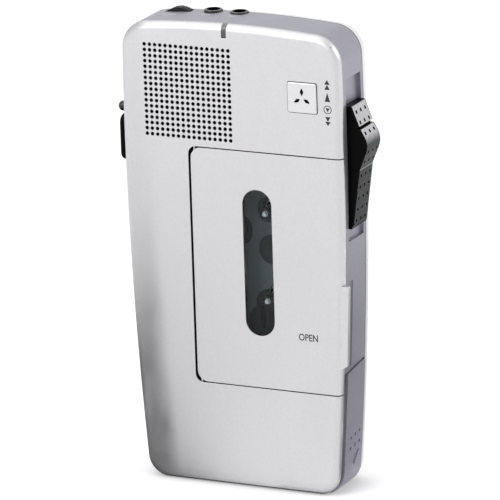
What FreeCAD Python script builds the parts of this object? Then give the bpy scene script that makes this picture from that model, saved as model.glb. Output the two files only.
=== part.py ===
import FreeCAD, Part
import math
import os
import types
import Sketcher

# A pocket cassette dictation recorder, standing upright on its bottom face.
# +X is the user's right, +Y runs from the front face into the casing, +Z is up.
# The origin is the middle of the bottom face. In the code a place along Y is given as a depth
# behind the front face, and every piece is then shifted by half of the casing's depth.

# Driving dimensions in millimetres and degrees.
SIZES = [
    # The casing's outline as seen from the front, and its layers from front to back.
    ("case_height", 125.0, "bottom face to the top of the crown"),
    ("case_depth", 19.6, "front face to back face"),
    ("widest_width", 62.7, "width at the widest height"),
    ("widest_height", 96.0, "height at which the casing is widest"),
    ("side_radius", 1140.0, "radius of the long curve of each side"),
    ("crown_radius", 285.0, "radius of the top edge's curve"),
    ("top_corner", 7.5, "radius of the upper corners"),
    ("bottom_corner", 6.0, "radius of the lower corners"),
    ("front_round", 1.8, "rounding of the front edge"),
    ("rear_round", 4.2, "rounding of the rear edge"),
    ("wall", 1.3, "wall of the shells and the side frame"),
    ("front_depth", 2.0, "depth of the front shell"),
    ("rear_depth", 5.1, "depth of the rear shell"),
    ("band_inset", 8.35, "seam of the switch's side band, from the widest side"),
    ("part_gap", 0.3, "gap between neighbouring pieces"),
    ("slide_gap", 0.15, "gap round a piece that slides"),
    ("shaft_gap", 0.05, "radial clearance of a shaft"),
    ("press_gap", 0.01, "radial clearance of a pressed pin"),
    # Screws and bosses.
    ("boss_radius", 1.7, "radius of the screw bosses"),
    ("boss_collar", 2.9, "radius of the collar that carries the circuit board"),
    ("screw_radius", 0.85, "radius of the case screws"),
    ("screw_head", 1.8, "head radius of the case screws"),
    ("screw_head_height", 1.2, "head height of the case screws"),
    ("screw_sunk", 1.6, "depth of the screw recesses in the back"),
    ("screw_length", 12.0, "shank length of the case screws"),
    ("upper_boss_inset", 4.85, "upper bosses from the widest side"),
    ("upper_boss_drop", 8.5, "upper bosses below the top of the crown"),
    ("left_boss_inset", 7.35, "lower left boss from the widest side"),
    ("right_boss_inset", 8.85, "lower right boss from the widest side"),
    ("lower_boss_z", 29.8, "height of the lower bosses"),
    ("bracket_ledge", 1.6, "height of the bracket that carries the boss behind the door"),
    # Grille and loudspeaker.
    ("grille_x", -12.1, "middle of the grille"),
    ("grille_drop", 18.85, "middle of the grille below the top of the crown"),
    ("grille_pitch", 1.5, "spacing of the grille holes"),
    ("grille_side", 17, "holes along each side of the grille"),
    ("grille_hole", 1.0, "diameter of a grille hole"),
    ("speaker_radius", 13.0, "outer radius of the loudspeaker"),
    ("speaker_front", 2.3, "depth of the loudspeaker's rim"),
    ("speaker_rim", 1.0, "height of the rim"),
    ("speaker_back", 6.4, "depth of the back of the basket"),
    ("speaker_sheet", 0.5, "sheet of the basket"),
    ("cone_radius", 11.4, "outer radius of the cone"),
    ("cone_sheet", 0.25, "thickness of the cone"),
    ("voice_radius", 3.2, "radius of the voice coil"),
    ("magnet_radius", 6.4, "radius of the magnet"),
    ("magnet_height", 2.8, "height of the magnet"),
    ("cloth_side", 25.2, "side of the dust cloth"),
    ("cloth_sheet", 0.2, "thickness of the dust cloth"),
    # Microphone.
    ("tile_x", 20.65, "middle of the microphone tile"),
    ("tile_drop", 17.6, "middle of the microphone tile below the top of the crown"),
    ("tile_width", 8.2, "width of the tile"),
    ("tile_height", 8.0, "height of the tile"),
    ("tile_corner", 0.5, "corner radius of the tile"),
    ("tile_proud", 0.4, "height of the tile above the front face"),
    ("tile_edge", 0.25, "rounding of the tile's edge"),
    ("tile_flange", 0.7, "width of the flange behind the tile"),
    ("flange_sheet", 0.5, "thickness of retaining flanges"),
    ("leaf_inner", 0.65, "radius at which a leaf slot starts"),
    ("leaf_outer", 2.5, "radius at which a leaf slot ends"),
    ("leaf_tip", 0.2, "radius of a leaf slot's two ends"),
    ("leaf_width", 0.95, "width of a leaf slot in its middle"),
    ("capsule_radius", 3.0, "radius of the microphone capsule"),
    ("capsule_height", 2.3, "height of the microphone capsule"),
    ("boot_wall", 0.6, "wall of the rubber boot"),
    # Lamp.
    ("lamp_x", -1.25, "middle of the light guide"),
    ("lamp_width", 1.3, "width of the light guide"),
    ("lamp_length", 3.5, "lower end of the light guide below the top of the crown"),
    ("led_radius", 0.9, "radius of the lamp"),
    ("led_drop", 2.7, "lamp below the top of the crown"),
    ("led_length", 2.0, "length of the lamp"),
    # Cassette door and window.
    ("door_left", -11.85, "left edge of the cassette door"),
    ("door_side_gap", 0.65, "gap left of the cassette door"),
    ("door_low", 27.95, "lower edge of the cassette door"),
    ("door_top", 91.55, "upper edge of the cassette door"),
    ("door_corner", 3.0, "radius of the door's left corners"),
    ("opening_corner", 2.2, "radius of the door opening's left corners"),
    ("door_sheet", 1.5, "thickness of the cassette door"),
    ("door_rim_gap", 0.15, "gap between the door's rim and the side frame"),
    ("hinge_inset", 0.9, "hinge axis from the door's left edge"),
    ("hinge_depth", 0.8, "hinge axis behind the front face"),
    ("hinge_pin", 0.4, "radius of the hinge pins"),
    ("hinge_boss", 1.5, "length of the hinge bosses"),
    ("hinge_boss_half", 1.2, "half width of the hinge bosses"),
    ("hinge_boss_back", 2.15, "depth of the hinge bosses' backs"),
    ("lip_low", 34.4, "lower end of the opening lip"),
    ("lip_foot", 36.1, "height at which the lip reaches its full width"),
    ("lip_top", 57.6, "upper end of the opening lip"),
    ("lip_out", 1.4, "width of the lip beyond the side"),
    ("lip_front", 0.35, "depth of the lip's front"),
    ("lip_back", 1.55, "depth of the lip's back"),
    ("window_z", 61.8, "middle of the window"),
    ("window_width", 8.2, "width of the window"),
    ("window_height", 39.4, "height of the window"),
    ("window_recess", 0.25, "depth of the window's face below the door"),
    ("window_flange", 0.9, "width of the window's flange"),
    ("hook_inset", 3.95, "middle of the door's hook from the widest side"),
    ("hook_z", 37.6, "middle of the door's hook"),
    ("hook_half", 0.5, "half thickness of the hook"),
    ("hook_height", 3.0, "height of the hook"),
    ("hook_back", 5.0, "depth of the hook's tip"),
    ("catch_sheet", 0.4, "sheet of the door catch"),
    ("catch_front", 3.2, "depth of the catch's front end"),
    # Deck plate and cassette well.
    ("deck_front", 11.0, "depth of the deck plate"),
    ("deck_sheet", 1.0, "thickness of the deck plate"),
    ("deck_inset", 4.15, "deck plate's long edges from the widest side"),
    ("deck_low", 27.0, "lower edge of the deck plate"),
    ("deck_drop", 5.5, "upper edge of the deck plate below the top of the crown"),
    ("notch_right", 3.2, "right edge of the deck's notch for the sockets"),
    ("notch_drop", 14.0, "lower edge of the deck's notch for the sockets below the crown"),
    ("cassette_width", 34.0, "width of a mini-cassette"),
    ("cassette_height", 56.0, "height of a mini-cassette, standing"),
    ("cassette_gap", 0.2, "gap round the cassette"),
    ("well_wall", 1.2, "wall of the cassette well"),
    ("well_front", 2.7, "depth of the well's front edge"),
    ("well_right", 25.4, "right end of the well's upper and lower walls"),
    # Spindles and drive.
    ("spindle_x", 6.75, "sideways place of both spindles and the window"),
    ("upper_spindle_z", 73.8, "height of the upper spindle"),
    ("spindle_pitch", 23.7, "spacing of the spindles"),
    ("spindle_tip", 4.5, "depth of the spindle tips"),
    ("axle_radius", 0.75, "radius of the steel axles"),
    ("tip_radius", 0.55, "radius of the spindle tips"),
    ("hub_front", 5.2, "depth of the splined hubs' fronts"),
    ("hub_radius", 1.5, "core radius of the splined hubs"),
    ("spline_reach", 2.2, "reach of the splines"),
    ("spline_width", 0.6, "width of a spline"),
    ("hub_back", 10.7, "depth of the splined hubs' backs"),
    ("bush_radius", 2.2, "outer radius of the bushes"),
    ("bush_lip", 0.15, "how far the bushes stand out of the deck plate"),
    ("table_radius", 8.5, "radius of the reel tables"),
    ("table_front", 12.3, "depth of the reel tables"),
    ("table_height", 1.4, "height of the reel tables"),
    ("axle_back", 14.1, "depth of the spindle axles' back ends"),
    ("drive_x", -7.5, "drive wheel's axis"),
    ("roller_radius", 3.0, "radius of the friction roller"),
    ("idler_radius", 4.0, "radius of the idler wheel"),
    ("idler_core", 2.8, "radius of the idler's plastic core"),
    ("nip_gap", 0.1, "gap between the roller and the idler"),
    ("idler_front", 12.5, "depth of the idler and the roller"),
    ("idler_height", 1.0, "height of the idler and the roller"),
    ("arm_front", 13.85, "depth of the swing arm"),
    ("arm_sheet", 0.5, "thickness of the swing arm"),
    ("drive_hub", 1.6, "radius of the drive wheel's hub"),
    ("idler_pin", 0.5, "radius of the idler's pin"),
    ("belt_layer", 14.5, "depth of the pulleys"),
    ("pulley_height", 1.2, "height of the pulleys"),
    ("pulley_rim", 0.15, "height of each rim of a pulley"),
    ("belt_sheet", 0.7, "thickness of the belt"),
    ("belt_width", 0.7, "width of the belt"),
    ("groove_depth", 0.7, "depth of the pulleys' grooves"),
    ("wheel_radius", 8.0, "radius of the drive wheel"),
    ("pulley_radius", 2.6, "radius of the motor pulley"),
    ("drive_axle_back", 15.75, "depth of the drive axle's back end"),
    # Motor.
    ("motor_x", 15.0, "motor's axis"),
    ("motor_drop", 21.0, "motor's axis below the top of the crown"),
    ("motor_radius", 9.0, "radius of the motor"),
    ("motor_height", 6.2, "height of the motor"),
    ("motor_boss", 2.5, "radius of the motor's bearing boss"),
    ("motor_shaft", 0.5, "radius of the motor shaft"),
    ("motor_screw_pitch", 12.0, "spacing of the motor screws"),
    ("small_screw", 0.6, "radius of the small screws"),
    ("small_head", 1.2, "head radius of the small screws"),
    ("small_head_height", 0.5, "head height of the small screws"),
    ("small_length", 1.8, "shank length of the motor screws"),
    # Head slide.
    ("head_left_inset", 6.85, "left edge of the head slide from the widest side"),
    ("head_right_inset", 3.05, "right edge of the head slide from the widest side"),
    ("head_low", 42.0, "lower end of the head slide"),
    ("head_top", 71.5, "upper end of the head slide"),
    ("head_sheet", 0.6, "thickness of the head slide"),
    ("head_travel", 2.2, "travel of the head slide towards the tape"),
    ("guide_low", 45.8, "height of the lower guide screw"),
    ("guide_top", 68.6, "height of the upper guide screw"),
    ("guide_radius", 0.6, "radius of the guide screws"),
    ("guide_head", 1.1, "head radius of the guide screws"),
    ("play_head_z", 61.95, "middle of the record and play head"),
    ("play_head_height", 8.0, "height of the record and play head"),
    ("erase_head_z", 51.9, "middle of the erase head"),
    ("erase_head_height", 4.0, "height of the erase head"),
    ("head_front", 4.3, "depth of the heads' fronts"),
    ("head_nose", 1.0, "length of the heads' sloped nose"),
    # Slide switch on the right edge.
    ("recess_front", 3.6, "front edge of the switch recess"),
    ("recess_back", 13.1, "back edge of the switch recess"),
    ("recess_low", 68.8, "lower end of the switch recess"),
    ("recess_top", 112.1, "upper end of the switch recess"),
    ("recess_sunk", 1.2, "recess floor from the widest side"),
    ("recess_wall", 1.5, "wall behind the recess floor"),
    ("switch_front", 3.8, "front side of the slide switch"),
    ("switch_back", 12.9, "back side of the slide switch"),
    ("switch_low", 72.25, "lower end of the slide switch"),
    ("switch_foot", 73.0, "height at which the lower pad starts"),
    ("switch_crease", 88.2, "height of the crease"),
    ("switch_nose", 95.0, "height of the nose"),
    ("switch_groove", 99.4, "height of the groove"),
    ("switch_shoulder", 104.9, "height at which the upper pad ends"),
    ("switch_top", 105.05, "upper end of the slide switch"),
    ("foot_drop", 4.9, "foot below the nose, sideways"),
    ("crease_drop", 2.8, "crease below the nose, sideways"),
    ("nose_proud", 5.85, "nose of the slide switch before its rounding, outside the widest side"),
    ("groove_drop", 2.45, "groove below the nose, sideways"),
    ("shoulder_drop", 4.6, "shoulder below the nose, sideways"),
    ("nose_round", 5.0, "rounding of the nose"),
    ("crease_round", 3.0, "rounding of the crease"),
    ("pad_sheet", 0.6, "thickness of the pads"),
    ("pad_margin", 0.5, "black margin beside the pads"),
    ("groove_half", 0.4, "half width of the groove"),
    ("dimple_side", 0.9, "side of a grip dimple"),
    ("dimple_depth", 0.3, "depth of a grip dimple"),
    ("dimple_pitch", 2.7, "spacing of the dimples across the switch"),
    ("detent_pitch", 3.3, "travel from one position to the next"),
    ("detents_up", 2, "positions above the rest position"),
    ("detents_down", 1, "positions below the rest position"),
    ("neck_low", 84.0, "lower end of the switch's neck"),
    ("neck_top", 96.0, "upper end of the switch's neck"),
    ("neck_front", 7.2, "front side of the neck"),
    ("neck_back", 9.8, "back side of the neck"),
    ("plate_sheet", 1.4, "thickness of the inner slide plate"),
    ("plate_front", 5.4, "front side of the inner slide plate"),
    ("plate_back", 10.6, "back side of the inner slide plate"),
    ("plate_low", 75.5, "lower end of the inner slide plate"),
    ("plate_top", 103.5, "upper end of the inner slide plate"),
    ("leg_low", 86.0, "lower side of the slide plate's leg"),
    ("leg_top", 89.0, "upper side of the slide plate's leg"),
    ("leg_back", 14.4, "depth of the slide plate's leg"),
    ("selector_inset", 9.35, "left side of the selector switch from the widest side"),
    ("selector_low", 80.5, "lower end of the selector switch"),
    ("selector_top", 98.5, "upper end of the selector switch"),
    # Battery compartment.
    ("cell_radius", 5.25, "radius of a cell"),
    ("cell_length", 44.5, "length of a cell with its nub"),
    ("nub_radius", 1.9, "radius of the nub"),
    ("nub_length", 0.8, "length of the nub"),
    ("cell_depth", 8.4, "depth of the cells' axes"),
    ("lower_cell_z", 8.3, "height of the lower cell's axis"),
    ("cell_pitch", 11.1, "spacing of the cells"),
    ("cell_gap", 0.2, "gap round the cells"),
    ("tray_wall", 1.0, "wall of the battery tray"),
    ("tray_inset", 5.95, "open end of the battery tray from the widest side"),
    ("contact_room", 1.5, "room for the contacts at the closed end"),
    ("contact_sheet", 0.3, "sheet of the contacts"),
    ("contact_half", 3.0, "half width of the contacts"),
    ("cover_inset", 11.05, "left end of the battery door under the corner, from the widest side"),
    ("cover_top", 33.1, "upper end of the battery door at its front side"),
    ("cover_rise", 1.25, "rise of the battery door's upper edge from its front side to its back side"),
    ("cover_front", 3.2, "front side of the battery door"),
    ("cover_back", 13.8, "back side of the battery door"),
    ("cover_proud", 0.5, "height of the battery door above the side"),
    ("cover_sunk", 0.7, "depth of the recess that it slides in"),
    ("tongue_inset", 5.4, "left side of the battery door's inner block from the widest side"),
    ("tongue_low", 5.5, "lower end of the inner block"),
    ("tongue_top", 30.6, "upper end of the inner block"),
    ("arrow_width", 6.0, "width of the arrow"),
    ("arrow_top", 9.9, "upper edge of the arrow"),
    ("arrow_tip", 6.3, "lower tip of the arrow"),
    ("cover_mark_depth", 9.0, "depth of the middle of the arrow and of the dimples"),
    ("cover_dimple_z", 13.5, "middle of the door's two rows of dimples"),
    ("cover_row_pitch", 2.85, "spacing of the door's rows"),
    # Buttons on the left edge.
    ("record_depth", 5.5, "depth of the record button's axis"),
    ("record_radius", 2.3, "half width of the record button"),
    ("record_low", 85.05, "lower end of the record button"),
    ("record_top", 97.5, "upper end of the record button"),
    ("record_out", 2.6, "height of the record button above the side"),
    ("record_round", 0.9, "rounding of the record button"),
    ("index_depth", 4.8, "depth of the index button's axis"),
    ("index_z", 99.65, "height of the index button's axis"),
    ("index_radius", 1.4, "radius of the index button"),
    ("index_out", 3.1, "height of the index button above the side"),
    ("button_flange", 0.5, "width of the buttons' flanges"),
    ("flange_inset", 1.5, "the buttons' flanges from the widest side"),
    ("flange_height", 0.9, "thickness of the buttons' flanges"),
    ("button_travel", 0.7, "travel of the buttons"),
    ("plunger_radius", 0.8, "radius of the plungers"),
    ("plunger_length", 1.7, "length of the plungers"),
    ("key_half", 1.8, "half side of the key switches"),
    ("key_height", 2.1, "height of the key switches"),
    ("key_board_inset", 5.45, "button board from the widest side"),
    ("key_board_sheet", 0.7, "thickness of the button board"),
    ("key_board_low", 84.0, "lower edge of the button board"),
    ("key_board_top", 101.6, "upper edge of the button board"),
    ("key_board_front", 2.6, "depth of the button board's front edge"),
    # Thumbwheel and sockets on the top edge.
    ("volume_x", -19.5, "thumbwheel's axis"),
    ("volume_drop", 5.1, "thumbwheel's axis below the top of the crown"),
    ("volume_radius", 5.5, "radius of the thumbwheel"),
    ("volume_front", 11.9, "depth of the thumbwheel's front"),
    ("volume_height", 2.4, "thickness of the thumbwheel"),
    ("knurl_count", 44, "notches round the thumbwheel"),
    ("knurl_radius", 0.2, "radius of a notch"),
    ("volume_shaft", 0.7, "radius of the thumbwheel's shaft"),
    ("pot_half", 2.6, "half width of the potentiometer"),
    ("pot_low_drop", 8.5, "lower edge of the potentiometer below the top of the crown"),
    ("pot_top_drop", 2.5, "upper edge of the potentiometer below the top of the crown"),
    ("pot_height", 1.4, "height of the potentiometer"),
    ("ear_x", -10.3, "middle of the earphone socket"),
    ("microphone_x", -2.8, "middle of the microphone socket"),
    ("socket_depth", 13.4, "depth of the sockets' axes"),
    ("collar_radius", 2.5, "radius of the sockets' collars"),
    ("collar_rise", 0.4, "upper end of the collars above the top of the crown"),
    ("collar_edge", 0.35, "rounding of the collars"),
    ("socket_bore", 1.8, "radius of the sockets' bores"),
    ("bore_length", 12.0, "depth of the sockets' bores"),
    ("socket_half", 3.1, "half width of the sockets' bodies"),
    ("socket_low_drop", 13.4, "lower end of the sockets' bodies below the crown"),
    ("socket_top_drop", 2.4, "upper end of the sockets' bodies below the crown"),
    # Circuit board.
    ("board_front", 16.0, "depth of the circuit board"),
    ("board_sheet", 1.0, "thickness of the circuit board"),
    ("board_inset", 5.85, "circuit board's long edges from the widest side"),
    ("board_low", 27.4, "lower edge of the circuit board"),
    ("board_drop", 3.2, "upper edge of the circuit board below the crown"),
    ("chip_height", 0.9, "height of the chips"),
    ("amplifier_x", -14.0, "left side of the amplifier chip"),
    ("amplifier_z", 100.0, "underside of the amplifier chip"),
    ("amplifier_side", 7.0, "side of the amplifier chip"),
    ("mixer_x", 6.0, "left side of the recording chip"),
    ("mixer_z", 96.0, "underside of the recording chip"),
    ("mixer_side", 6.0, "side of the recording chip"),
    ("servo_x", -2.0, "left side of the motor's speed chip"),
    ("servo_z", 72.0, "underside of the motor's speed chip"),
    ("servo_side", 9.0, "side of the motor's speed chip"),
    ("supply_x", 14.0, "left side of the supply chip"),
    ("supply_z", 60.0, "underside of the supply chip"),
    ("supply_side", 4.5, "side of the supply chip"),
    ("capacitor_radius", 1.6, "radius of the capacitors"),
    ("capacitor_length", 6.5, "length of the capacitors"),
    ("capacitor_x", -21.5, "sideways place of the capacitors"),
    ("capacitor_z", 38.0, "height of the lowest capacitor"),
    ("capacitor_pitch", 9.0, "spacing of the capacitors"),
    # Shallow strip in the side frame beside the lip.
    ("strip_front", 2.9, "front edge of the strip"),
    ("strip_back", 6.2, "back edge of the strip"),
    ("strip_sunk", 0.35, "depth of the strip"),
    # Room that cutting shapes reach past what they cut.
    ("beyond", 8.0, "reach of a cut beyond the piece"),
]


class Size:
    # A length with its number and the sheet expression that gives it.
    def __init__(self, number, text):
        self.number = number
        self.text = text

    def __add__(self, other):
        other = sized(other)
        return Size(self.number + other.number, f"({self.text} + {other.text})")

    def __sub__(self, other):
        other = sized(other)
        return Size(self.number - other.number, f"({self.text} - {other.text})")

    def __mul__(self, other):
        other = sized(other)
        return Size(self.number * other.number, f"({self.text} * {other.text})")

    def __truediv__(self, other):
        other = sized(other)
        return Size(self.number / other.number, f"({self.text} / {other.text})")

    def __radd__(self, other):
        return sized(other) + self

    def __rsub__(self, other):
        return sized(other) - self

    def __rmul__(self, other):
        return sized(other) * self

    def __neg__(self):
        return sized(0) - self


def sized(item):
    if isinstance(item, Size):
        return item
    return Size(float(item), f"({item})")


def root(item):
    return Size(math.sqrt(item.number), f"sqrt({item.text})")


def bind(thing, target, item):
    thing.setExpression(target, sized(item).text)


doc = FreeCAD.newDocument("recorder")
sheet = doc.addObject("Spreadsheet::Sheet", "sizes")
for row, (word, amount, meaning) in enumerate(SIZES, 1):
    sheet.set(f"A{row}", word)
    sheet.set(f"B{row}", str(amount))
    sheet.set(f"C{row}", meaning)
    sheet.setAlias(f"B{row}", word)
doc.recompute()
size = types.SimpleNamespace(**{word: Size(float(amount), f"sizes.{word}") for word, amount, _ in SIZES})
vector = FreeCAD.Vector
upright = vector(0, 0, 1)
tiny = 1e-4
nodes = []

# Places that follow from the driving dimensions.
rear_seam = size.case_depth - size.rear_depth
deck_back = size.deck_front + size.deck_sheet
board_back = size.board_front + size.board_sheet
lower_spindle_z = size.upper_spindle_z - size.spindle_pitch
drive_z = size.upper_spindle_z - size.spindle_pitch / 2
hinge_x = size.door_left + size.hinge_inset
arm_length = size.roller_radius + size.idler_radius + size.nip_gap
idler_x = size.drive_x + arm_length
belt_middle = size.belt_layer + size.pulley_height / 2
upper_cell_z = size.lower_cell_z + size.cell_pitch
switch_up = size.detent_pitch * size.detents_up
switch_down = size.detent_pitch * size.detents_down

# Places at the top are measured down from the crown, and places at the sides in from the widest side.
upper_boss_z = size.case_height - size.upper_boss_drop
grille_z = size.case_height - size.grille_drop
tile_z = size.case_height - size.tile_drop
lamp_low = size.case_height - size.lamp_length
led_z = size.case_height - size.led_drop
deck_top = size.case_height - size.deck_drop
notch_low = size.case_height - size.notch_drop
motor_z = size.case_height - size.motor_drop
volume_z = size.case_height - size.volume_drop
pot_low = size.case_height - size.pot_low_drop
pot_top = size.case_height - size.pot_top_drop
collar_top = size.case_height + size.collar_rise
socket_low = size.case_height - size.socket_low_drop
socket_body_top = size.case_height - size.socket_top_drop
board_top = size.case_height - size.board_drop
upper_boss_x = size.widest_width / 2 - size.upper_boss_inset
left_boss_x = size.widest_width / 2 - size.left_boss_inset
right_boss_x = size.widest_width / 2 - size.right_boss_inset
deck_half = size.widest_width / 2 - size.deck_inset
board_half = size.widest_width / 2 - size.board_inset
hook_x = size.widest_width / 2 - size.hook_inset
recess_floor = size.widest_width / 2 - size.recess_sunk
selector_left = size.widest_width / 2 - size.selector_inset
tray_right = size.widest_width / 2 - size.tray_inset
cover_left = size.widest_width / 2 - size.cover_inset
cover_slope = size.cover_rise / (size.cover_back - size.cover_front)
tongue_left = size.widest_width / 2 - size.tongue_inset
flange_face = size.widest_width / 2 - size.flange_inset
key_board_x = size.widest_width / 2 - size.key_board_inset
head_left = size.widest_width / 2 - size.head_left_inset
head_right = size.widest_width / 2 - size.head_right_inset
nose_out = size.widest_width / 2 + size.nose_proud
foot_out = nose_out - size.foot_drop
crease_out = nose_out - size.crease_drop
groove_out = nose_out - size.groove_drop
shoulder_out = nose_out - size.shoulder_drop


def half_width(height):
    # Half of the casing's width at a height, from the long side curve.
    rise = height - size.widest_height
    return size.widest_width / 2 - size.side_radius + root(size.side_radius * size.side_radius - rise * rise)


def keep(thing, node):
    thing.Label = node
    nodes.append(thing)
    return thing


def new_body(name):
    body = doc.addObject("PartDesign::Body", name)
    bind(body, "Placement.Base.y", -size.case_depth / 2)
    return body


def polar(angle, length):
    return vector(length * math.cos(angle), length * math.sin(angle), 0)


class Drawing:
    # A sketch on one of a body's own planes, each point held to the sheet. "front" has x across
    # and y up, "top" has x across and y into the depth, "side" has x into the depth and y up.
    planes = {"front": ("XZ_Plane", -1), "top": ("XY_Plane", 1), "side": ("YZ_Plane", 1)}

    def __init__(self, body, plane, place=0, x=0, y=0):
        role, self.sign = self.planes[plane]
        self.body = body
        self.sketch = body.newObject("Sketcher::SketchObject", "drawing")
        own_plane = [item for item in body.Origin.OriginFeatures if item.Role == role][0]
        self.sketch.AttachmentSupport = [(own_plane, "")]
        self.sketch.MapMode = "FlatFace"
        bind(self.sketch, "AttachmentOffset.Base.x", x)
        bind(self.sketch, "AttachmentOffset.Base.y", y)
        bind(self.sketch, "AttachmentOffset.Base.z", sized(place) * self.sign)

    def hold(self, kind, *place_and_size):
        *place, item = place_and_size
        item = sized(item)
        number = self.sketch.addConstraint(Sketcher.Constraint(kind, *place, item.number))
        bind(self.sketch, f"Constraints[{number}]", item)

    def polygon(self, points):
        points = [(sized(x), sized(y)) for x, y in points]
        places = [vector(x.number, y.number, 0) for x, y in points]
        lines = [
            self.sketch.addGeometry(Part.LineSegment(start, end), False)
            for start, end in zip(places, places[1:] + places[:1])
        ]
        for line, following in zip(lines, lines[1:] + lines[:1]):
            self.sketch.addConstraint(Sketcher.Constraint("Coincident", line, 2, following, 1))
        for line, (x, y) in zip(lines, points):
            self.hold("DistanceX", line, 1, x)
            self.hold("DistanceY", line, 1, y)
        return self

    def rectangle(self, left, right, low, high):
        return self.polygon([(left, low), (right, low), (right, high), (left, high)])

    def circle(self, x, y, radius):
        x, y, radius = sized(x), sized(y), sized(radius)
        circle = Part.Circle(vector(x.number, y.number, 0), upright, radius.number)
        ring = self.sketch.addGeometry(circle, False)
        self.hold("Radius", ring, radius)
        self.hold("DistanceX", ring, 3, x)
        self.hold("DistanceY", ring, 3, y)
        return self

    def wrap(self, circles):
        # The loop that a band makes round circles listed anticlockwise: arcs and tangent lines.
        circles = [(sized(x), sized(y), sized(radius)) for x, y, radius in circles]
        middles = [vector(x.number, y.number, 0) for x, y, _ in circles]
        radii = [radius.number for _, _, radius in circles]
        count = len(circles)
        normals = []
        for place in range(count):
            following = (place + 1) % count
            step = middles[following] - middles[place]
            lean = math.asin((radii[place] - radii[following]) / step.Length)
            normals.append(math.atan2(step.y, step.x) - math.pi / 2 + lean)
        arcs = []
        lines = []
        for place in range(count):
            opening = normals[place - 1]
            closing = opening + (normals[place] - opening) % (2 * math.pi)
            ring = Part.Circle(middles[place], upright, radii[place])
            arcs.append(self.sketch.addGeometry(Part.ArcOfCircle(ring, opening, closing), False))
        for place in range(count):
            following = (place + 1) % count
            start = middles[place] + polar(normals[place], radii[place])
            end = middles[following] + polar(normals[place], radii[following])
            lines.append(self.sketch.addGeometry(Part.LineSegment(start, end), False))
        for place, (x, y, radius) in enumerate(circles):
            self.hold("DistanceX", arcs[place], 3, x)
            self.hold("DistanceY", arcs[place], 3, y)
            self.hold("Radius", arcs[place], radius)
        for place in range(count):
            following = (place + 1) % count
            self.sketch.addConstraint(Sketcher.Constraint("Tangent", arcs[place], 2, lines[place], 1))
            self.sketch.addConstraint(Sketcher.Constraint("Tangent", lines[place], 2, arcs[following], 1))
        return self

    def rounded(self, left, right, low, high, radius):
        corners = [(left, low), (right, low), (right, high), (left, high)]
        ways = [(1, 1), (-1, 1), (-1, -1), (1, -1)]
        rounds = []
        for (x, y), (way_x, way_y) in zip(corners, ways):
            rounds.append((x + radius * way_x, y + radius * way_y, radius))
        return self.wrap(rounds)

    def casing(self, inset=0):
        # The casing's outline from the front, drawn in by an inset: a bottom line, two side arcs
        # and a crown arc, joined by four rounded corners.
        side = size.side_radius - inset
        crown = size.crown_radius - inset
        side_x = size.widest_width / 2 - size.side_radius
        crown_z = size.case_height - size.crown_radius
        right_side = vector(side_x.number, size.widest_height.number, 0)
        crown_middle = vector(0, crown_z.number, 0)
        low = size.bottom_corner.number
        rise = size.widest_height.number - low
        low_x = side_x.number + math.sqrt((size.side_radius.number - low) ** 2 - rise ** 2)
        low_corner = vector(low_x, low, 0)
        top_corner = meeting(
            right_side,
            size.side_radius.number - size.top_corner.number,
            crown_middle,
            size.crown_radius.number - size.top_corner.number,
        )
        side_low = angle_of(low_corner - right_side)
        side_top = angle_of(top_corner - right_side)
        crown_right = angle_of(top_corner - crown_middle)
        low_radius = size.bottom_corner - inset
        top_radius = size.top_corner - inset
        half_turn = math.pi
        arcs = [
            (low_corner, low_radius, -half_turn / 2, side_low),
            (right_side, side, side_low, side_top),
            (top_corner, top_radius, side_top, crown_right),
            (crown_middle, crown, crown_right, half_turn - crown_right),
            (mirrored(top_corner), top_radius, half_turn - crown_right, half_turn - side_top),
            (mirrored(right_side), side, half_turn - side_top, half_turn - side_low),
            (mirrored(low_corner), low_radius, half_turn - side_low, half_turn * 1.5),
        ]
        shapes = []
        for middle, radius, opening, closing in arcs:
            ring = Part.Circle(middle, upright, sized(radius).number)
            shapes.append(self.sketch.addGeometry(Part.ArcOfCircle(ring, opening, closing), False))
            self.hold("Radius", shapes[-1], radius)
        floor = sized(inset)
        foot = [vector(-low_x, floor.number, 0), vector(low_x, floor.number, 0)]
        shapes.append(self.sketch.addGeometry(Part.LineSegment(*foot), False))
        for shape, following in zip(shapes, shapes[1:] + shapes[:1]):
            self.sketch.addConstraint(Sketcher.Constraint("Tangent", shape, 2, following, 1))
        self.sketch.addConstraint(Sketcher.Constraint("Horizontal", shapes[-1]))
        self.hold("DistanceY", shapes[-1], 1, floor)
        for shape, x, z in [
            (shapes[1], side_x, size.widest_height),
            (shapes[3], sized(0), crown_z),
            (shapes[5], -side_x, size.widest_height),
        ]:
            self.hold("DistanceX", shape, 3, x)
            self.hold("DistanceY", shape, 3, z)
        return self

    def extrude(self, kind, length, backwards):
        volume = 0 if self.body.Shape.isNull() else self.body.Shape.Volume
        feature = self.body.newObject(kind, "feature")
        feature.Profile = self.sketch
        feature.Reversed = backwards
        bind(feature, "Length", length)
        doc.recompute([self.sketch, feature, self.body])
        if kind == "PartDesign::Pocket" and not feature.Shape.Volume < volume - tiny:
            raise RuntimeError(f"a pocket in {self.body.Name} cuts nothing")
        return feature

    def pad(self, length, toward=1):
        return self.extrude("PartDesign::Pad", length, toward * self.sign < 0)

    def pocket(self, length, toward=1):
        return self.extrude("PartDesign::Pocket", length, toward * self.sign > 0)

    def revolve(self, axis):
        feature = self.body.newObject("PartDesign::Revolution", "turned")
        feature.Profile = self.sketch
        feature.ReferenceAxis = (self.sketch, [axis])
        feature.Angle = 360
        doc.recompute([self.sketch, feature, self.body])
        return feature


def angle_of(step):
    return math.atan2(step.y, step.x)


def mirrored(place):
    return vector(-place.x, place.y, 0)


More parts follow.
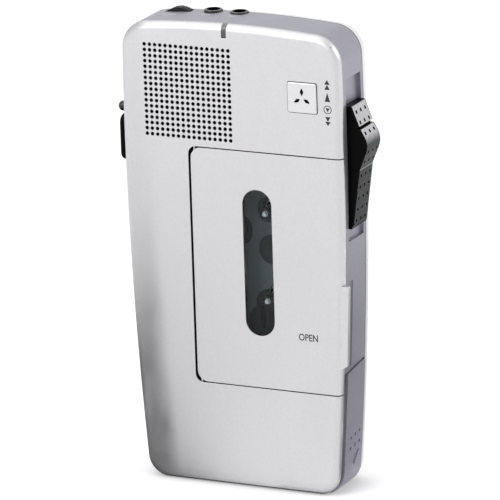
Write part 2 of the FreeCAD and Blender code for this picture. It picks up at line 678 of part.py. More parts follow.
def meeting(first, first_radius, second, second_radius):
    # The right-hand point that lies at both distances from two centres.
    step = second - first
    along = (first_radius ** 2 - second_radius ** 2 + step.Length ** 2) / (2 * step.Length)
    across = math.sqrt(first_radius ** 2 - along ** 2)
    unit = vector(step).normalize()
    sides = [first + unit * along + vector(-unit.y, unit.x, 0) * across * way for way in (1, -1)]
    return max(sides, key=lambda place: place.y)


def round_edges(body, feature, radius, chosen):
    # Rounds the edges whose bounding box passes the test.
    names = [f"Edge{place}" for place, edge in enumerate(feature.Shape.Edges, 1) if chosen(edge.BoundBox)]
    rounding = body.newObject("PartDesign::Fillet", "rounding")
    rounding.Base = (feature, names)
    bind(rounding, "Radius", radius)
    doc.recompute([rounding, body])
    return rounding


def block(left, right, front, back, low, high):
    left, right, front, back, low, high = [sized(item) for item in (left, right, front, back, low, high)]
    shape = doc.addObject("Part::Box", "block")
    bind(shape, "Length", right - left)
    bind(shape, "Width", back - front)
    bind(shape, "Height", high - low)
    bind(shape, "Placement.Base.x", left)
    bind(shape, "Placement.Base.y", front - size.case_depth / 2)
    bind(shape, "Placement.Base.z", low)
    return shape


def rod(direction, radius, start, end, first, second):
    # A cylinder along "x", "y" or "z" from start to end. The last two values are its other two
    # places, in the order x, depth, z.
    start, end, first, second = [sized(item) for item in (start, end, first, second)]
    turns = {"x": (vector(0, 1, 0), 90), "y": (vector(1, 0, 0), -90), "z": (upright, 0)}
    places = {"x": (start, first, second), "y": (first, start, second), "z": (first, second, start)}
    x, depth, z = places[direction]
    shape = doc.addObject("Part::Cylinder", "rod")
    shape.Placement = FreeCAD.Placement(vector(), FreeCAD.Rotation(*turns[direction]))
    bind(shape, "Radius", radius)
    bind(shape, "Height", end - start)
    bind(shape, "Placement.Base.x", x)
    bind(shape, "Placement.Base.y", depth - size.case_depth / 2)
    bind(shape, "Placement.Base.z", z)
    return shape


def joined(shapes):
    if len(shapes) == 1:
        return shapes[0]
    union = doc.addObject("Part::MultiFuse", "union")
    union.Shapes = shapes
    union.Refine = True
    return union


def without(base, cutters):
    cut = doc.addObject("Part::Cut", "cut")
    cut.Base = base
    cut.Tool = joined(cutters)
    cut.Refine = True
    doc.recompute([cut])
    if not cut.Shape.Volume < base.Shape.Volume - tiny:
        raise RuntimeError(f"a cut in {base.Name} removes nothing")
    return cut


def shared(first, second):
    common = doc.addObject("Part::Common", "common")
    common.Base = first
    common.Tool = second
    common.Refine = True
    return common


def group(node, shapes):
    # Identical small pieces that share one node, each a solid of its own.
    compound = doc.addObject("Part::Compound", "group")
    compound.Links = shapes
    return keep(compound, node)


def turned(name, x, z, profile):
    # A piece turned about an axis along Y. The profile lists radius and depth.
    body = new_body(name)
    Drawing(body, "top", z, x=x).polygon(profile).revolve("V_Axis")
    return body


def disc(name, x, z, radius, front, back, bore=0):
    return turned(name, x, z, [(bore, front), (radius, front), (radius, back), (bore, back)])


def casing_block(start, depth, inset=0):
    body = new_body("casing_block")
    Drawing(body, "front", start).casing(inset).pad(depth)
    return body


boss_places = [
    (-upper_boss_x, upper_boss_z),
    (upper_boss_x, upper_boss_z),
    (-left_boss_x, size.lower_boss_z),
    (right_boss_x, size.lower_boss_z),
]


def front_shell():
    body = new_body("front_shell")
    plate = Drawing(body, "front").casing().pad(size.front_depth)
    round_edges(body, plate, size.front_round, lambda box: box.YMax < tiny)
    Drawing(body, "front", size.wall).casing(size.wall).pocket(size.front_depth)
    seam = size.part_gap
    opening = Drawing(body, "front")
    opening.rectangle(
        size.door_left - size.door_side_gap, size.widest_width, size.door_low - seam, size.door_top + seam
    )
    opened = opening.pocket(size.front_depth)
    edge_x = (size.door_left - size.door_side_gap).number
    round_edges(body, opened, size.opening_corner, lambda box: box.XLength < tiny and box.ZLength < tiny
                and abs(box.XMin - edge_x) < tiny and abs(box.YLength - size.wall.number) < tiny)
    hinge_bosses(body, seam)
    for place, (x, z) in enumerate(boss_places):
        reach = deck_back if place == 0 else size.deck_front
        start = size.wall
        if place == len(boss_places) - 1:
            start = size.door_sheet + size.part_gap
            boss_bracket(body, x, z, start)
        Drawing(body, "front", start).circle(x, z, size.boss_radius).pad(reach - start)
        Drawing(body, "front", size.wall * 2).circle(x, z, size.screw_radius + size.shaft_gap).pocket(reach)
    Drawing(body, "front").rounded(
        size.tile_x - size.tile_width / 2 - seam / 2,
        size.tile_x + size.tile_width / 2 + seam / 2,
        tile_z - size.tile_height / 2 - seam / 2,
        tile_z + size.tile_height / 2 + seam / 2,
        size.tile_corner + seam / 2,
    ).pocket(size.front_depth)
    lamp_half = size.lamp_width / 2 + size.shaft_gap
    Drawing(body, "front").rectangle(
        size.lamp_x - lamp_half, size.lamp_x + lamp_half,
        lamp_low - size.shaft_gap, size.case_height + size.beyond
    ).pocket(size.front_depth)
    grille(body)
    keep(body, "front_shell")


def boss_bracket(body, x, z, start):
    # One boss stands behind the cassette door, so a bracket carries it from the shell below the door.
    radius = size.boss_radius
    ledge_top = size.door_low - size.part_gap
    ledge_low = ledge_top - size.bracket_ledge
    Drawing(body, "front", size.wall).rectangle(x - radius, x + radius, ledge_low, ledge_top).pad(
        size.deck_front - size.wall
    )
    Drawing(body, "front", start).rectangle(x - radius, x + radius, ledge_low, z).pad(size.deck_front - start)


def hinge_bosses(body, seam):
    # Two thick spots on the inside of the front shell that hold the door's hinge pins.
    ends = [(size.door_low - seam, -1), (size.door_top + seam, 1)]
    for edge, way in ends:
        drawing = Drawing(body, "top", edge)
        drawing.rectangle(
            hinge_x - size.hinge_boss_half, hinge_x + size.hinge_boss_half,
            size.wall / 2, size.hinge_boss_back
        ).pad(size.hinge_boss, way)
        inside = edge - size.opening_corner * way
        Drawing(body, "top", inside).circle(
            hinge_x, size.hinge_depth, size.hinge_pin + size.shaft_gap
        ).pocket(size.hinge_boss + size.opening_corner, way)


def grille(body):
    span = size.grille_pitch * (size.grille_side - 1)
    drawing = Drawing(body, "front")
    drawing.circle(size.grille_x - span / 2, grille_z - span / 2, size.grille_hole / 2)
    hole = drawing.pocket(size.wall)
    pattern = body.newObject("PartDesign::LinearPattern", "grille")
    pattern.Originals = [hole]
    pattern.Direction = (drawing.sketch, ["H_Axis"])
    pattern.Direction2 = (drawing.sketch, ["V_Axis"])
    bind(pattern, "Length", span)
    bind(pattern, "Length2", span)
    bind(pattern, "Occurrences", size.grille_side)
    bind(pattern, "Occurrences2", size.grille_side)
    body.Tip = pattern
    doc.recompute([body])


def loudspeaker():
    x, z = size.grille_x, grille_z
    front = size.speaker_front
    rim_back = front + size.speaker_rim
    sheet = size.speaker_sheet
    profile = [
        (size.cone_radius + sheet, front),
        (size.speaker_radius, front),
        (size.speaker_radius, rim_back),
        (size.magnet_radius, size.speaker_back),
        (size.voice_radius + sheet, size.speaker_back),
        (size.voice_radius + sheet, size.speaker_back - sheet),
        (size.magnet_radius, size.speaker_back - sheet),
        (size.cone_radius + sheet, rim_back),
    ]
    keep(turned("speaker_basket", x, z, profile), "speaker_basket")
    cone_back = size.speaker_back - sheet * 2
    skin = size.cone_sheet
    cone = [
        (0, cone_back - sheet * 2),
        (size.voice_radius, cone_back - skin),
        (size.cone_radius, front + skin),
        (size.cone_radius + sheet - skin, front + skin),
        (size.cone_radius + sheet - skin, front + skin * 2),
        (size.cone_radius, front + skin * 2),
        (size.voice_radius, cone_back),
        (0, cone_back - sheet * 2 + skin),
    ]
    keep(turned("speaker_cone", x, z, cone), "speaker_cone")
    magnet_back = size.speaker_back + size.magnet_height
    keep(disc("speaker_magnet", x, z, size.magnet_radius, size.speaker_back, magnet_back), "speaker_magnet")
    half = size.cloth_side / 2
    cloth_front = size.wall + size.shaft_gap
    cloth = block(x - half, x + half, cloth_front, cloth_front + size.cloth_sheet, z - half, z + half)
    keep(cloth, "speaker_cloth")


def microphone():
    half_wide, half_high = size.tile_width / 2, size.tile_height / 2
    body = new_body("microphone_tile")
    tile_back = size.wall + size.shaft_gap
    face = Drawing(body, "front", -size.tile_proud, x=size.tile_x, y=tile_z)
    plate = face.rounded(-half_wide, half_wide, -half_high, half_high, size.tile_corner)
    plate = plate.pad(tile_back + size.tile_proud)
    front = -size.tile_proud.number
    round_edges(body, plate, size.tile_edge, lambda box: box.YMax < front + tiny)
    margin = size.tile_flange
    flange = Drawing(body, "front", tile_back, x=size.tile_x, y=tile_z)
    flange.rounded(
        -half_wide - margin, half_wide + margin, -half_high - margin, half_high + margin, size.tile_corner
    ).pad(size.flange_sheet)
    leaf = Drawing(body, "front", -size.tile_proud, x=size.tile_x, y=tile_z)
    middle = (size.leaf_inner + size.leaf_outer) / 2
    leaf.wrap([
        (0, size.leaf_inner + size.leaf_tip, size.leaf_tip),
        (0, middle, size.leaf_width / 2),
        (0, size.leaf_outer - size.leaf_tip, size.leaf_tip),
        (0, middle, size.leaf_width / 2),
    ])
    slot = leaf.pocket(size.tile_proud * 2 + tile_back + size.flange_sheet)
    pattern = body.newObject("PartDesign::PolarPattern", "leaves")
    pattern.Originals = [slot]
    pattern.Axis = (leaf.sketch, ["N_Axis"])
    pattern.Angle = 360
    pattern.Occurrences = 3
    body.Tip = pattern
    keep(body, "microphone_tile")
    boot_front = tile_back + size.flange_sheet + size.shaft_gap
    boot_back = boot_front + size.capsule_height
    radius = size.capsule_radius
    x, z = size.tile_x, tile_z
    keep(disc("capsule", x, z, radius, boot_front, boot_back), "microphone_capsule")
    bore = radius + size.press_gap
    boot = disc("boot", x, z, radius + size.boot_wall, boot_front, boot_back, bore)
    keep(boot, "microphone_boot")


def recording_lamp():
    # The light guide is the piece of the front shell's own shape that fills its slot.
    body = new_body("guide_plate")
    plate = Drawing(body, "front").casing().pad(size.front_depth)
    round_edges(body, plate, size.front_round, lambda box: box.YMax < tiny)
    half = size.lamp_width / 2
    strip = block(size.lamp_x - half, size.lamp_x + half, -size.wall, size.front_depth, lamp_low,
                  size.case_height + size.beyond)
    keep(shared(body, strip), "light_guide")
    front = size.front_depth + size.shaft_gap
    keep(rod("y", size.led_radius, front, front + size.led_length, size.lamp_x, led_z), "led")


def cassette_door():
    body = new_body("door_plate")
    rim_back = size.front_depth - size.door_rim_gap
    plate = Drawing(body, "front").casing().pad(rim_back)
    round_edges(body, plate, size.front_round, lambda box: box.YMax < tiny)
    Drawing(body, "front", size.door_sheet).casing(size.wall).pocket(size.wall)
    door = shared(body, door_blank())
    lip = new_body("lip")
    outer = Drawing(lip, "front", size.lip_front)
    outer.polygon([
        (half_width(size.lip_low) - size.wall, size.lip_low),
        (half_width(size.lip_foot) + size.lip_out, size.lip_foot),
        (half_width(size.lip_top) + size.lip_out, size.lip_top - size.part_gap),
        (half_width(size.lip_top) + size.lip_out - size.part_gap, size.lip_top),
        (half_width(size.lip_top) - size.wall, size.lip_top),
    ]).pad(size.lip_back - size.lip_front)
    knuckle = rod("z", size.hinge_depth, size.door_low, size.door_top, hinge_x, size.hinge_depth)
    knuckle_trim = shared(knuckle, door_blank())
    hook = block(hook_x - size.hook_half, hook_x + size.hook_half, size.wall, size.hook_back,
                 size.hook_z - size.hook_height / 2, size.hook_z + size.hook_height / 2)
    pin_holes = [
        rod("z", size.hinge_pin + size.press_gap, low, high, hinge_x, size.hinge_depth)
        for low, high in [
            (size.door_low - size.wall, size.door_low + size.hinge_boss),
            (size.door_top - size.hinge_boss, size.door_top + size.wall),
        ]
    ]
    cutters = pin_holes + [window_shape(size.shaft_gap)]
    keep(without(joined([door, lip, knuckle_trim, hook]), cutters), "cassette_door")
    keep(window_shape(0), "door_window")
    seam = size.part_gap
    reach = size.hinge_boss - size.slide_gap
    spans = [
        (size.door_low - seam - reach, size.door_low + reach),
        (size.door_top - reach, size.door_top + seam + reach),
    ]
    pins = [rod("z", size.hinge_pin, low, top, hinge_x, size.hinge_depth) for low, top in spans]
    group("door_hinge_pins", pins)


def door_blank():
    # The door's outline from the front: rounded at the left, running past the casing at the right.
    body = new_body("door_blank")
    Drawing(body, "front", -size.beyond).rounded(
        size.door_left, size.widest_width, size.door_low, size.door_top, size.door_corner
    ).pad(size.beyond * 2)
    return body


def window_shape(gap):
    # A long rounded pane with a flange behind it. The gap makes the matching hole a little larger.
    body = new_body("window")
    half_wide = size.window_width / 2
    reach = size.window_height / 2 - half_wide
    pane_front = size.window_recess if gap == 0 else -size.wall
    flange_front = size.door_sheet - size.flange_sheet
    layers = [
        (half_wide + gap, pane_front, size.door_sheet),
        (half_wide + size.window_flange + gap, flange_front, size.door_sheet + size.shaft_gap),
    ]
    for radius, front, back in layers:
        Drawing(body, "front", front).wrap([
            (size.spindle_x, size.window_z - reach, radius),
            (size.spindle_x, size.window_z + reach, radius),
        ]).pad(back - front)
    return body


def deck():
    plate = block(-deck_half, deck_half, size.deck_front, deck_back, size.deck_low, deck_top)
    notch = block(-size.widest_width, size.notch_right, size.wall, size.case_depth,
                  notch_low, size.case_height)
    x = size.spindle_x
    front, back = size.deck_front - size.wall, deck_back + size.wall
    holes = [(x, size.upper_spindle_z, size.bush_radius + size.press_gap),
             (x, lower_spindle_z, size.bush_radius + size.press_gap),
             (size.drive_x, drive_z, size.axle_radius + size.press_gap),
             (size.motor_x, motor_z, size.motor_boss + size.slide_gap)]
    holes += [(x, z, size.screw_radius + size.slide_gap) for x, z in boss_places[1:]]
    holes += [(x, motor_z, size.small_screw + size.shaft_gap) for x in motor_screw_places()]
    guide = size.guide_radius + size.press_gap
    holes += [(guide_x(), z, guide) for z in (size.guide_low, size.guide_top)]
    cutters = [rod("y", radius, front, back, x, z) for x, z, radius in holes]
    corner = block(tongue_left - size.part_gap, size.widest_width, size.wall, size.case_depth,
                   0, size.tongue_top + size.part_gap)
    keep(without(plate, [notch, corner] + cutters), "deck_plate")


def motor_screw_places():
    return [size.motor_x - size.motor_screw_pitch / 2, size.motor_x + size.motor_screw_pitch / 2]


def guide_x():
    return (head_left + head_right) / 2 - size.head_travel / 2


def cassette_well():
    left = size.spindle_x - size.cassette_width / 2 - size.cassette_gap
    middle = drive_z
    low = middle - size.cassette_height / 2 - size.cassette_gap
    top = middle + size.cassette_height / 2 + size.cassette_gap
    wall = size.well_wall
    body = new_body("cassette_well")
    Drawing(body, "front", size.well_front).polygon([
        (left - wall, low - wall),
        (size.well_right, low - wall),
        (size.well_right, low),
        (left, low),
        (left, top),
        (size.well_right, top),
        (size.well_right, top + wall),
        (left - wall, top + wall),
    ]).pad(size.deck_front - size.well_front)
    keep(body, "cassette_well")


def door_catch():
    # A bent leaf that stands on the deck plate beside the door's hook.
    sheet = size.catch_sheet
    face = hook_x - size.hook_half - size.part_gap
    half = size.hook_height / 2
    body = new_body("door_catch")
    Drawing(body, "top", size.hook_z - half).polygon([
        (face - sheet, size.catch_front),
        (face, size.catch_front),
        (face, size.deck_front),
        (face - sheet * 4, size.deck_front),
        (face - sheet * 4, size.deck_front - sheet),
        (face - sheet, size.deck_front - sheet),
    ]).pad(size.hook_height)
    keep(body, "door_catch")


def spindle(name, z):
    x = size.spindle_x
    tip, hub = size.spindle_tip, size.hub_front
    table_back = size.table_front + size.table_height
    axle = [
        (0, tip),
        (size.tip_radius, tip),
        (size.tip_radius, hub),
        (size.axle_radius, hub),
        (size.axle_radius, size.table_front),
        (size.table_radius, size.table_front),
        (size.table_radius, table_back),
        (size.axle_radius, table_back),
        (size.axle_radius, size.axle_back),
        (0, size.axle_back),
    ]
    keep(turned(f"{name}_reel_table", x, z, axle), f"{name}_reel_table")
    bore = size.axle_radius + size.press_gap
    body = disc(f"{name}_hub", x, z, size.hub_radius, hub, size.hub_back, bore)
    fin = Drawing(body, "front", hub, x=x, y=z)
    fin.rectangle(-size.spline_width / 2, size.spline_width / 2, bore, size.spline_reach)
    splines = body.newObject("PartDesign::PolarPattern", "splines")
    splines.Originals = [fin.pad(size.hub_back - hub)]
    splines.Axis = (fin.sketch, ["N_Axis"])
    splines.Angle = 360
    splines.Occurrences = 3
    body.Tip = splines
    keep(body, f"{name}_hub")


def spindle_bushes():
    lip = size.bush_lip
    bore = size.axle_radius + size.shaft_gap
    bushes = [
        disc("bush", size.spindle_x, z, size.bush_radius, size.deck_front - lip, deck_back + lip, bore)
        for z in (size.upper_spindle_z, lower_spindle_z)
    ]
    group("spindle_bushes", bushes)


def grooved(radius, bore, front):
    # Half section of a pulley: two thin rims and a groove for the belt.
    back = front + size.pulley_height
    floor = radius - size.groove_depth
    rim = size.pulley_rim
    return [
        (bore, front),
        (radius, front),
        (radius, front + rim),
        (floor, front + rim * 1.5),
        (floor, back - rim * 1.5),
        (radius, back - rim),
        (radius, back),
        (bore, back),
    ]


def drive_train():
    x, z = size.drive_x, drive_z
    axle = [
        (0, size.deck_front),
        (size.axle_radius, size.deck_front),
        (size.axle_radius, deck_back),
        (size.drive_hub, deck_back),
        (size.drive_hub, size.table_front),
        (size.axle_radius, size.table_front),
        (size.axle_radius, size.drive_axle_back),
        (0, size.drive_axle_back),
    ]
    keep(turned("drive_axle", x, z, axle), "drive_axle")
    bore = size.axle_radius + size.shaft_gap
    front = size.belt_layer
    idler_back = size.idler_front + size.idler_height
    wheel = [
        (bore, size.idler_front),
        (size.roller_radius, size.idler_front),
        (size.roller_radius, idler_back),
        (size.drive_hub, idler_back),
        (size.drive_hub, front),
    ]
    wheel += grooved(size.wheel_radius, bore, front)[1:]
    keep(turned("drive_wheel", x, z, wheel), "drive_wheel")
    swing_arm()
    core_bore = size.idler_pin + size.shaft_gap
    core = disc("idler_core", idler_x, z, size.idler_core, size.idler_front, idler_back, core_bore)
    keep(core, "idler_wheel")
    tyre_bore = size.idler_core + size.press_gap
    tyre = disc("tyre", idler_x, z, size.idler_radius, size.idler_front, idler_back, tyre_bore)
    keep(tyre, "idler_tyre")
    drive_belt()


def swing_arm():
    body = new_body("arm_sheet")
    around = size.drive_hub + size.wall
    Drawing(body, "front", size.arm_front).wrap([
        (size.drive_x, drive_z, around),
        (idler_x, drive_z, size.idler_pin * 3),
    ]).pad(size.arm_sheet)
    Drawing(body, "front", size.arm_front).circle(
        size.drive_x, drive_z, size.drive_hub + size.shaft_gap
    ).pocket(size.arm_sheet)
    pin_front = size.idler_front - size.slide_gap
    pin = rod("y", size.idler_pin, pin_front, size.arm_front + size.arm_sheet, idler_x, drive_z)
    keep(joined([body, pin]), "swing_arm")


def drive_belt():
    inner = size.nip_gap - size.groove_depth
    body = new_body("drive_belt")
    drawing = Drawing(body, "front", belt_middle - size.belt_width / 2)
    for grown in (inner, inner + size.belt_sheet):
        drawing.wrap([
            (size.drive_x, drive_z, size.wheel_radius + grown),
            (size.motor_x, motor_z, size.pulley_radius + grown),
        ])
    drawing.pad(size.belt_width)
    keep(body, "drive_belt")


def motor():
    x, z = size.motor_x, motor_z
    back = size.deck_front
    front = back - size.motor_height
    bore = size.motor_shaft + size.shaft_gap
    boss_back = deck_back + size.slide_gap
    profile = [
        (0, front),
        (size.motor_radius - size.slide_gap * 3, front),
        (size.motor_radius, front + size.slide_gap * 3),
        (size.motor_radius, back),
        (size.motor_boss, back),
        (size.motor_boss, boss_back),
        (bore, boss_back),
        (bore, back - size.wall),
        (0, back - size.wall),
    ]
    can = turned("motor_can", x, z, profile)
    head_back = deck_back + size.small_head_height
    hole = size.small_screw + size.shaft_gap
    depth = size.small_length - size.deck_sheet + size.slide_gap
    holes = [rod("y", hole, back - depth, back + size.wall, place, z) for place in motor_screw_places()]
    keep(without(can, holes), "motor")
    shaft_front = back - size.wall + size.shaft_gap
    pulley_back = size.belt_layer + size.pulley_height
    keep(rod("y", size.motor_shaft, shaft_front, pulley_back, x, z), "motor_shaft")
    pulley = grooved(size.pulley_radius, size.motor_shaft + size.press_gap, size.belt_layer)
    keep(turned("motor_pulley", x, z, pulley), "motor_pulley")
    screws = []
    for place in motor_screw_places():
        shank_front = deck_back - size.small_length
        screws.append(turned("motor_screw", place, z, [
            (0, shank_front),
            (size.small_screw, shank_front),
            (size.small_screw, deck_back),
            (size.small_head, deck_back),
            (size.small_head, head_back),
            (0, head_back),
        ]))
    group("motor_screws", screws)


def tape_head(name, middle, height):
    # A metal block with a sloped nose towards the tape.
    half = height / 2
    nose = size.head_nose
    left, right = head_left + size.slide_gap, head_right - size.slide_gap
    body = new_body(name)
    Drawing(body, "front", size.head_front).polygon([
        (left, middle - half + nose),
        (left + nose, middle - half),
        (right, middle - half),
        (right, middle + half),
        (left + nose, middle + half),
        (left, middle + half - nose),
    ]).pad(head_plate_front() - size.head_front)
    keep(body, name)


def head_plate_front():
    return size.deck_front - size.shaft_gap - size.head_sheet


def head_slide():
    front = head_plate_front()
    body = new_body("head_slide")
    Drawing(body, "front", front).rectangle(
        head_left, head_right, size.head_low, size.head_top
    ).pad(size.head_sheet)
    slot = size.guide_radius + size.shaft_gap
    x = guide_x()
    for z in (size.guide_low, size.guide_top):
        ends = [(x, z, slot), (x + size.head_travel, z, slot)]
        Drawing(body, "front", front).wrap(ends).pocket(size.head_sheet)
    keep(body, "head_slide")
    tape_head("play_head", size.play_head_z, size.play_head_height)
    tape_head("erase_head", size.erase_head_z, size.erase_head_height)
    head_front = front - size.shaft_gap - size.small_head_height
    screws = [
        turned("guide_screw", x, z, [
            (0, head_front),
            (size.guide_head, head_front),
            (size.guide_head, front - size.shaft_gap),
            (size.guide_radius, front - size.shaft_gap),
            (size.guide_radius, deck_back),
            (0, deck_back),
        ])
        for z in (size.guide_low, size.guide_top)
    ]
    group("head_slide_screws", screws)


def switch_outline(body, front, shift, low, top):
    # The switch seen from the front: its outer line is a chain of straight slopes.
    chain = [
        (foot_out - shift, size.switch_foot),
        (crease_out - shift, size.switch_crease),
        (nose_out - shift, size.switch_nose),
        (groove_out - shift, size.switch_groove),
        (shoulder_out - shift, size.switch_shoulder),
    ]
    base = switch_base()
    points = [(base, low), (foot_out - shift - size.part_gap, low)]
    points += chain
    points += [(shoulder_out - shift - size.part_gap, top), (base, top)]
    return Drawing(body, "front", front).polygon(points)


def switch_base():
    return recess_floor + size.part_gap


def slide_switch():
    front, back = size.switch_front, size.switch_back
    body = new_body("switch_carrier")
    switch_outline(body, front, size.slide_gap, size.switch_low, size.switch_top).pad(back - front)
    room = back - front - size.pad_margin * 2 + size.shaft_gap * 2
    pad_outline(body, True, size.shaft_gap).pocket(room)
    seat = pad_outline(body, False, size.shaft_gap).pocket(room)
    seat = round_switch(body, seat, size.pad_sheet + size.shaft_gap)
    round_switch(body, seat, size.slide_gap)
    groove = Drawing(body, "front", front)
    half = size.groove_half
    deep = size.pad_sheet * 1.5
    groove.polygon([
        (groove_out - deep, size.switch_groove - half),
        (nose_out + size.wall, size.switch_groove - half),
        (nose_out + size.wall, size.switch_groove + half),
        (groove_out - deep, size.switch_groove + half),
    ]).pocket(back - front)
    neck_left = recess_floor - size.recess_wall - size.slide_gap
    neck = Drawing(body, "front", size.neck_front)
    neck.rectangle(neck_left, switch_base() + size.wall, size.neck_low, size.neck_top)
    neck.pad(size.neck_back - size.neck_front)
    keep(body, "switch_carrier")
    switch_pad("switch_upper_pad", True)
    switch_pad("switch_lower_pad", False)


def round_switch(body, feature, shift):
    # Softens the nose and the crease, which are edges along the depth.
    for out, height, radius in [
        (nose_out, size.switch_nose, size.nose_round),
        (crease_out, size.switch_crease, size.crease_round),
    ]:
        x, z = (out - shift).number, height.number
        feature = round_edges(body, feature, radius, lambda box: abs(box.XMin - x) + abs(box.XMax - x) < tiny
                              and abs(box.ZMin - z) + abs(box.ZMax - z) < tiny)
    return feature


def pad_outline(body, upper, gap=0):
    # The pads' shape from the front: a strip of one thickness under the switch's outer line.
    # The gap makes the matching pocket in the carrier a little larger.
    sheet = size.pad_sheet
    out = sized(0)
    if gap != 0:
        out = size.beyond
    half = size.groove_half
    slope = (groove_out - shoulder_out) / (size.switch_shoulder - size.switch_groove)
    nose_slope = (nose_out - groove_out) / (size.switch_groove - size.switch_nose)
    if upper:
        outer = [
            (groove_out - slope * half, size.switch_groove + half - gap),
            (shoulder_out, size.switch_shoulder + gap),
        ]
    else:
        outer = [
            (foot_out, size.switch_foot - gap),
            (crease_out, size.switch_crease),
            (nose_out, size.switch_nose),
            (groove_out + nose_slope * half, size.switch_groove - half + gap),
        ]
    inner = [(x - sheet - gap, z) for x, z in reversed(outer)]
    front = size.switch_front + size.pad_margin - gap
    return Drawing(body, "front", front).polygon([(x + out, z) for x, z in outer] + inner)


def switch_pad(node, upper):
    body = new_body(node)
    deep = size.switch_back - size.switch_front - size.pad_margin * 2
    pad = pad_outline(body, upper).pad(deep)
    if not upper:
        pad = round_switch(body, pad, 0)
        round_switch(body, pad, size.pad_sheet)
    ends = [(groove_out, size.switch_groove), (shoulder_out, size.switch_shoulder)]
    if upper:
        dimples(body, ends, (0.22, 0.7), 3)
    else:
        dimples(body, [(nose_out, size.switch_nose), ends[0]], (0.64,), 3)
        steep = [(crease_out, size.switch_crease), (nose_out, size.switch_nose)]
        dimples(body, steep, (0.28, 0.68), 3)
        low = [(foot_out, size.switch_foot), (crease_out, size.switch_crease)]
        dimples(body, low, (0.08, 0.28, 0.48, 0.68, 0.88), 3)
    keep(body, node)


def dimples(body, ends, shares, columns):
    # Rows of square dimples on one slope of the switch. The shares say where along the slope.
    (low_x, low_z), (top_x, top_z) = ends
    lean = math.degrees(math.atan2(top_x.number - low_x.number, top_z.number - low_z.number))
    length = root((top_x - low_x) * (top_x - low_x) + (top_z - low_z) * (top_z - low_z))
    drawing = Drawing(body, "side", low_x, y=low_z)
    drawing.sketch.AttachmentOffset = FreeCAD.Placement(
        drawing.sketch.AttachmentOffset.Base, FreeCAD.Rotation(vector(1, 0, 0), lean)
    )
    middle = (size.switch_front + size.switch_back) / 2
    half = size.dimple_side / 2
    for share in shares:
        for column in range(columns):
            y = middle + size.dimple_pitch * (column - (columns - 1) / 2)
            along = length * share
            drawing.rectangle(y - half, y + half, along - half, along + half)
    drawing.pocket(size.dimple_depth, -1)


def slide_plate():
    right = recess_floor - size.recess_wall - size.slide_gap
    left = right - size.plate_sheet
    plate = block(left, right, size.plate_front, size.plate_back, size.plate_low, size.plate_top)
    leg = block(right - size.pad_sheet * 1.5, right, size.plate_back - size.wall, size.leg_back,
                size.leg_low, size.leg_top)
    keep(joined([plate, leg]), "switch_slide_plate")
    selector = block(selector_left, left - size.wall, deck_back + size.part_gap, size.board_front,
                     size.selector_low, size.selector_top)
    keep(selector, "selector_switch")


def side_frame():
    # The grey band between the shells is two mouldings: a frame round the left, top and bottom, and
    # a side band that holds the slide switch.
    ring = new_body("ring")
    outline = Drawing(ring, "front", size.front_depth)
    outline.casing()
    outline.casing(size.wall)
    outline.pad(rear_seam - size.front_depth)
    gap = size.slide_gap
    inner = recess_floor - size.recess_wall
    thick = block(inner, recess_floor + size.part_gap, size.recess_front - size.wall,
                  size.recess_back + size.wall, size.recess_low - size.wall, size.recess_top + size.wall)
    far = size.widest_width / 2 + size.beyond
    recess = block(recess_floor, far, size.recess_front, size.recess_back,
                   size.recess_low, size.recess_top)
    slot = block(inner - size.wall, far, size.neck_front - gap, size.neck_back + gap,
                 size.neck_low - switch_down - gap, size.neck_top + switch_up + gap)
    cutters = [recess, slot, record_shape(gap, size.widest_width / 2 + size.record_out)]
    cutters.append(rod("x", size.index_radius + gap, -far, -flange_face + size.wall,
                       size.index_depth, size.index_z))
    cutters += top_cuts()
    cutters += battery_cuts()
    cutters.append(relief_strip())
    band = without(joined([ring, thick]), cutters)
    right_side = block(size.widest_width / 2 - size.band_inset, far, 0, size.case_depth,
                       -size.wall, size.case_height + size.wall)
    keep(without(band, [right_side]), "side_frame")
    keep(shared(band, right_side), "switch_side_band")


def top_cuts():
    # The thumbwheel's slot and the round notches for the two sockets.
    room = rod("y", size.volume_radius + size.part_gap, size.volume_front - size.part_gap,
               rear_seam + tiny, size.volume_x, volume_z)
    return [room] + socket_cuts()


def socket_cuts():
    low = size.case_height - size.wall * 3
    high = size.case_height + size.wall
    return [
        rod("z", size.collar_radius + size.shaft_gap, low, high, x, size.socket_depth)
        for x in (size.ear_x, size.microphone_x)
    ]


def battery_cuts():
    half = size.cell_radius + size.cell_gap
    opening = block(cover_left + size.wall, size.widest_width, size.cell_depth - half,
                    size.cell_depth + half, -size.wall, size.cover_top - size.wall)
    outer = cover_blank(cover_left - size.part_gap, size.front_depth, rear_seam, -size.wall, size.part_gap)
    inner = casing_block(size.front_depth - size.wall, rear_seam, size.cover_sunk)
    return [opening, without(outer, [inner])]


def cover_blank(left, front, back, low, gap=0):
    # What lies under the battery door's upper edge, which rises towards the back.
    blank = new_body("cover_blank")
    top = size.cover_top + gap
    Drawing(blank, "side", left).polygon([
        (front, low),
        (back, low),
        (back, top + (back - size.cover_front) * cover_slope),
        (front, top + (front - size.cover_front) * cover_slope),
    ]).pad(size.widest_width - left)
    return blank


def relief_strip():
    outer = block(cover_left, size.widest_width, size.strip_front, size.strip_back,
                  size.lip_low + size.part_gap, size.lip_top + size.part_gap)
    inner = casing_block(0, size.case_depth, size.strip_sunk)
    return without(outer, [inner])


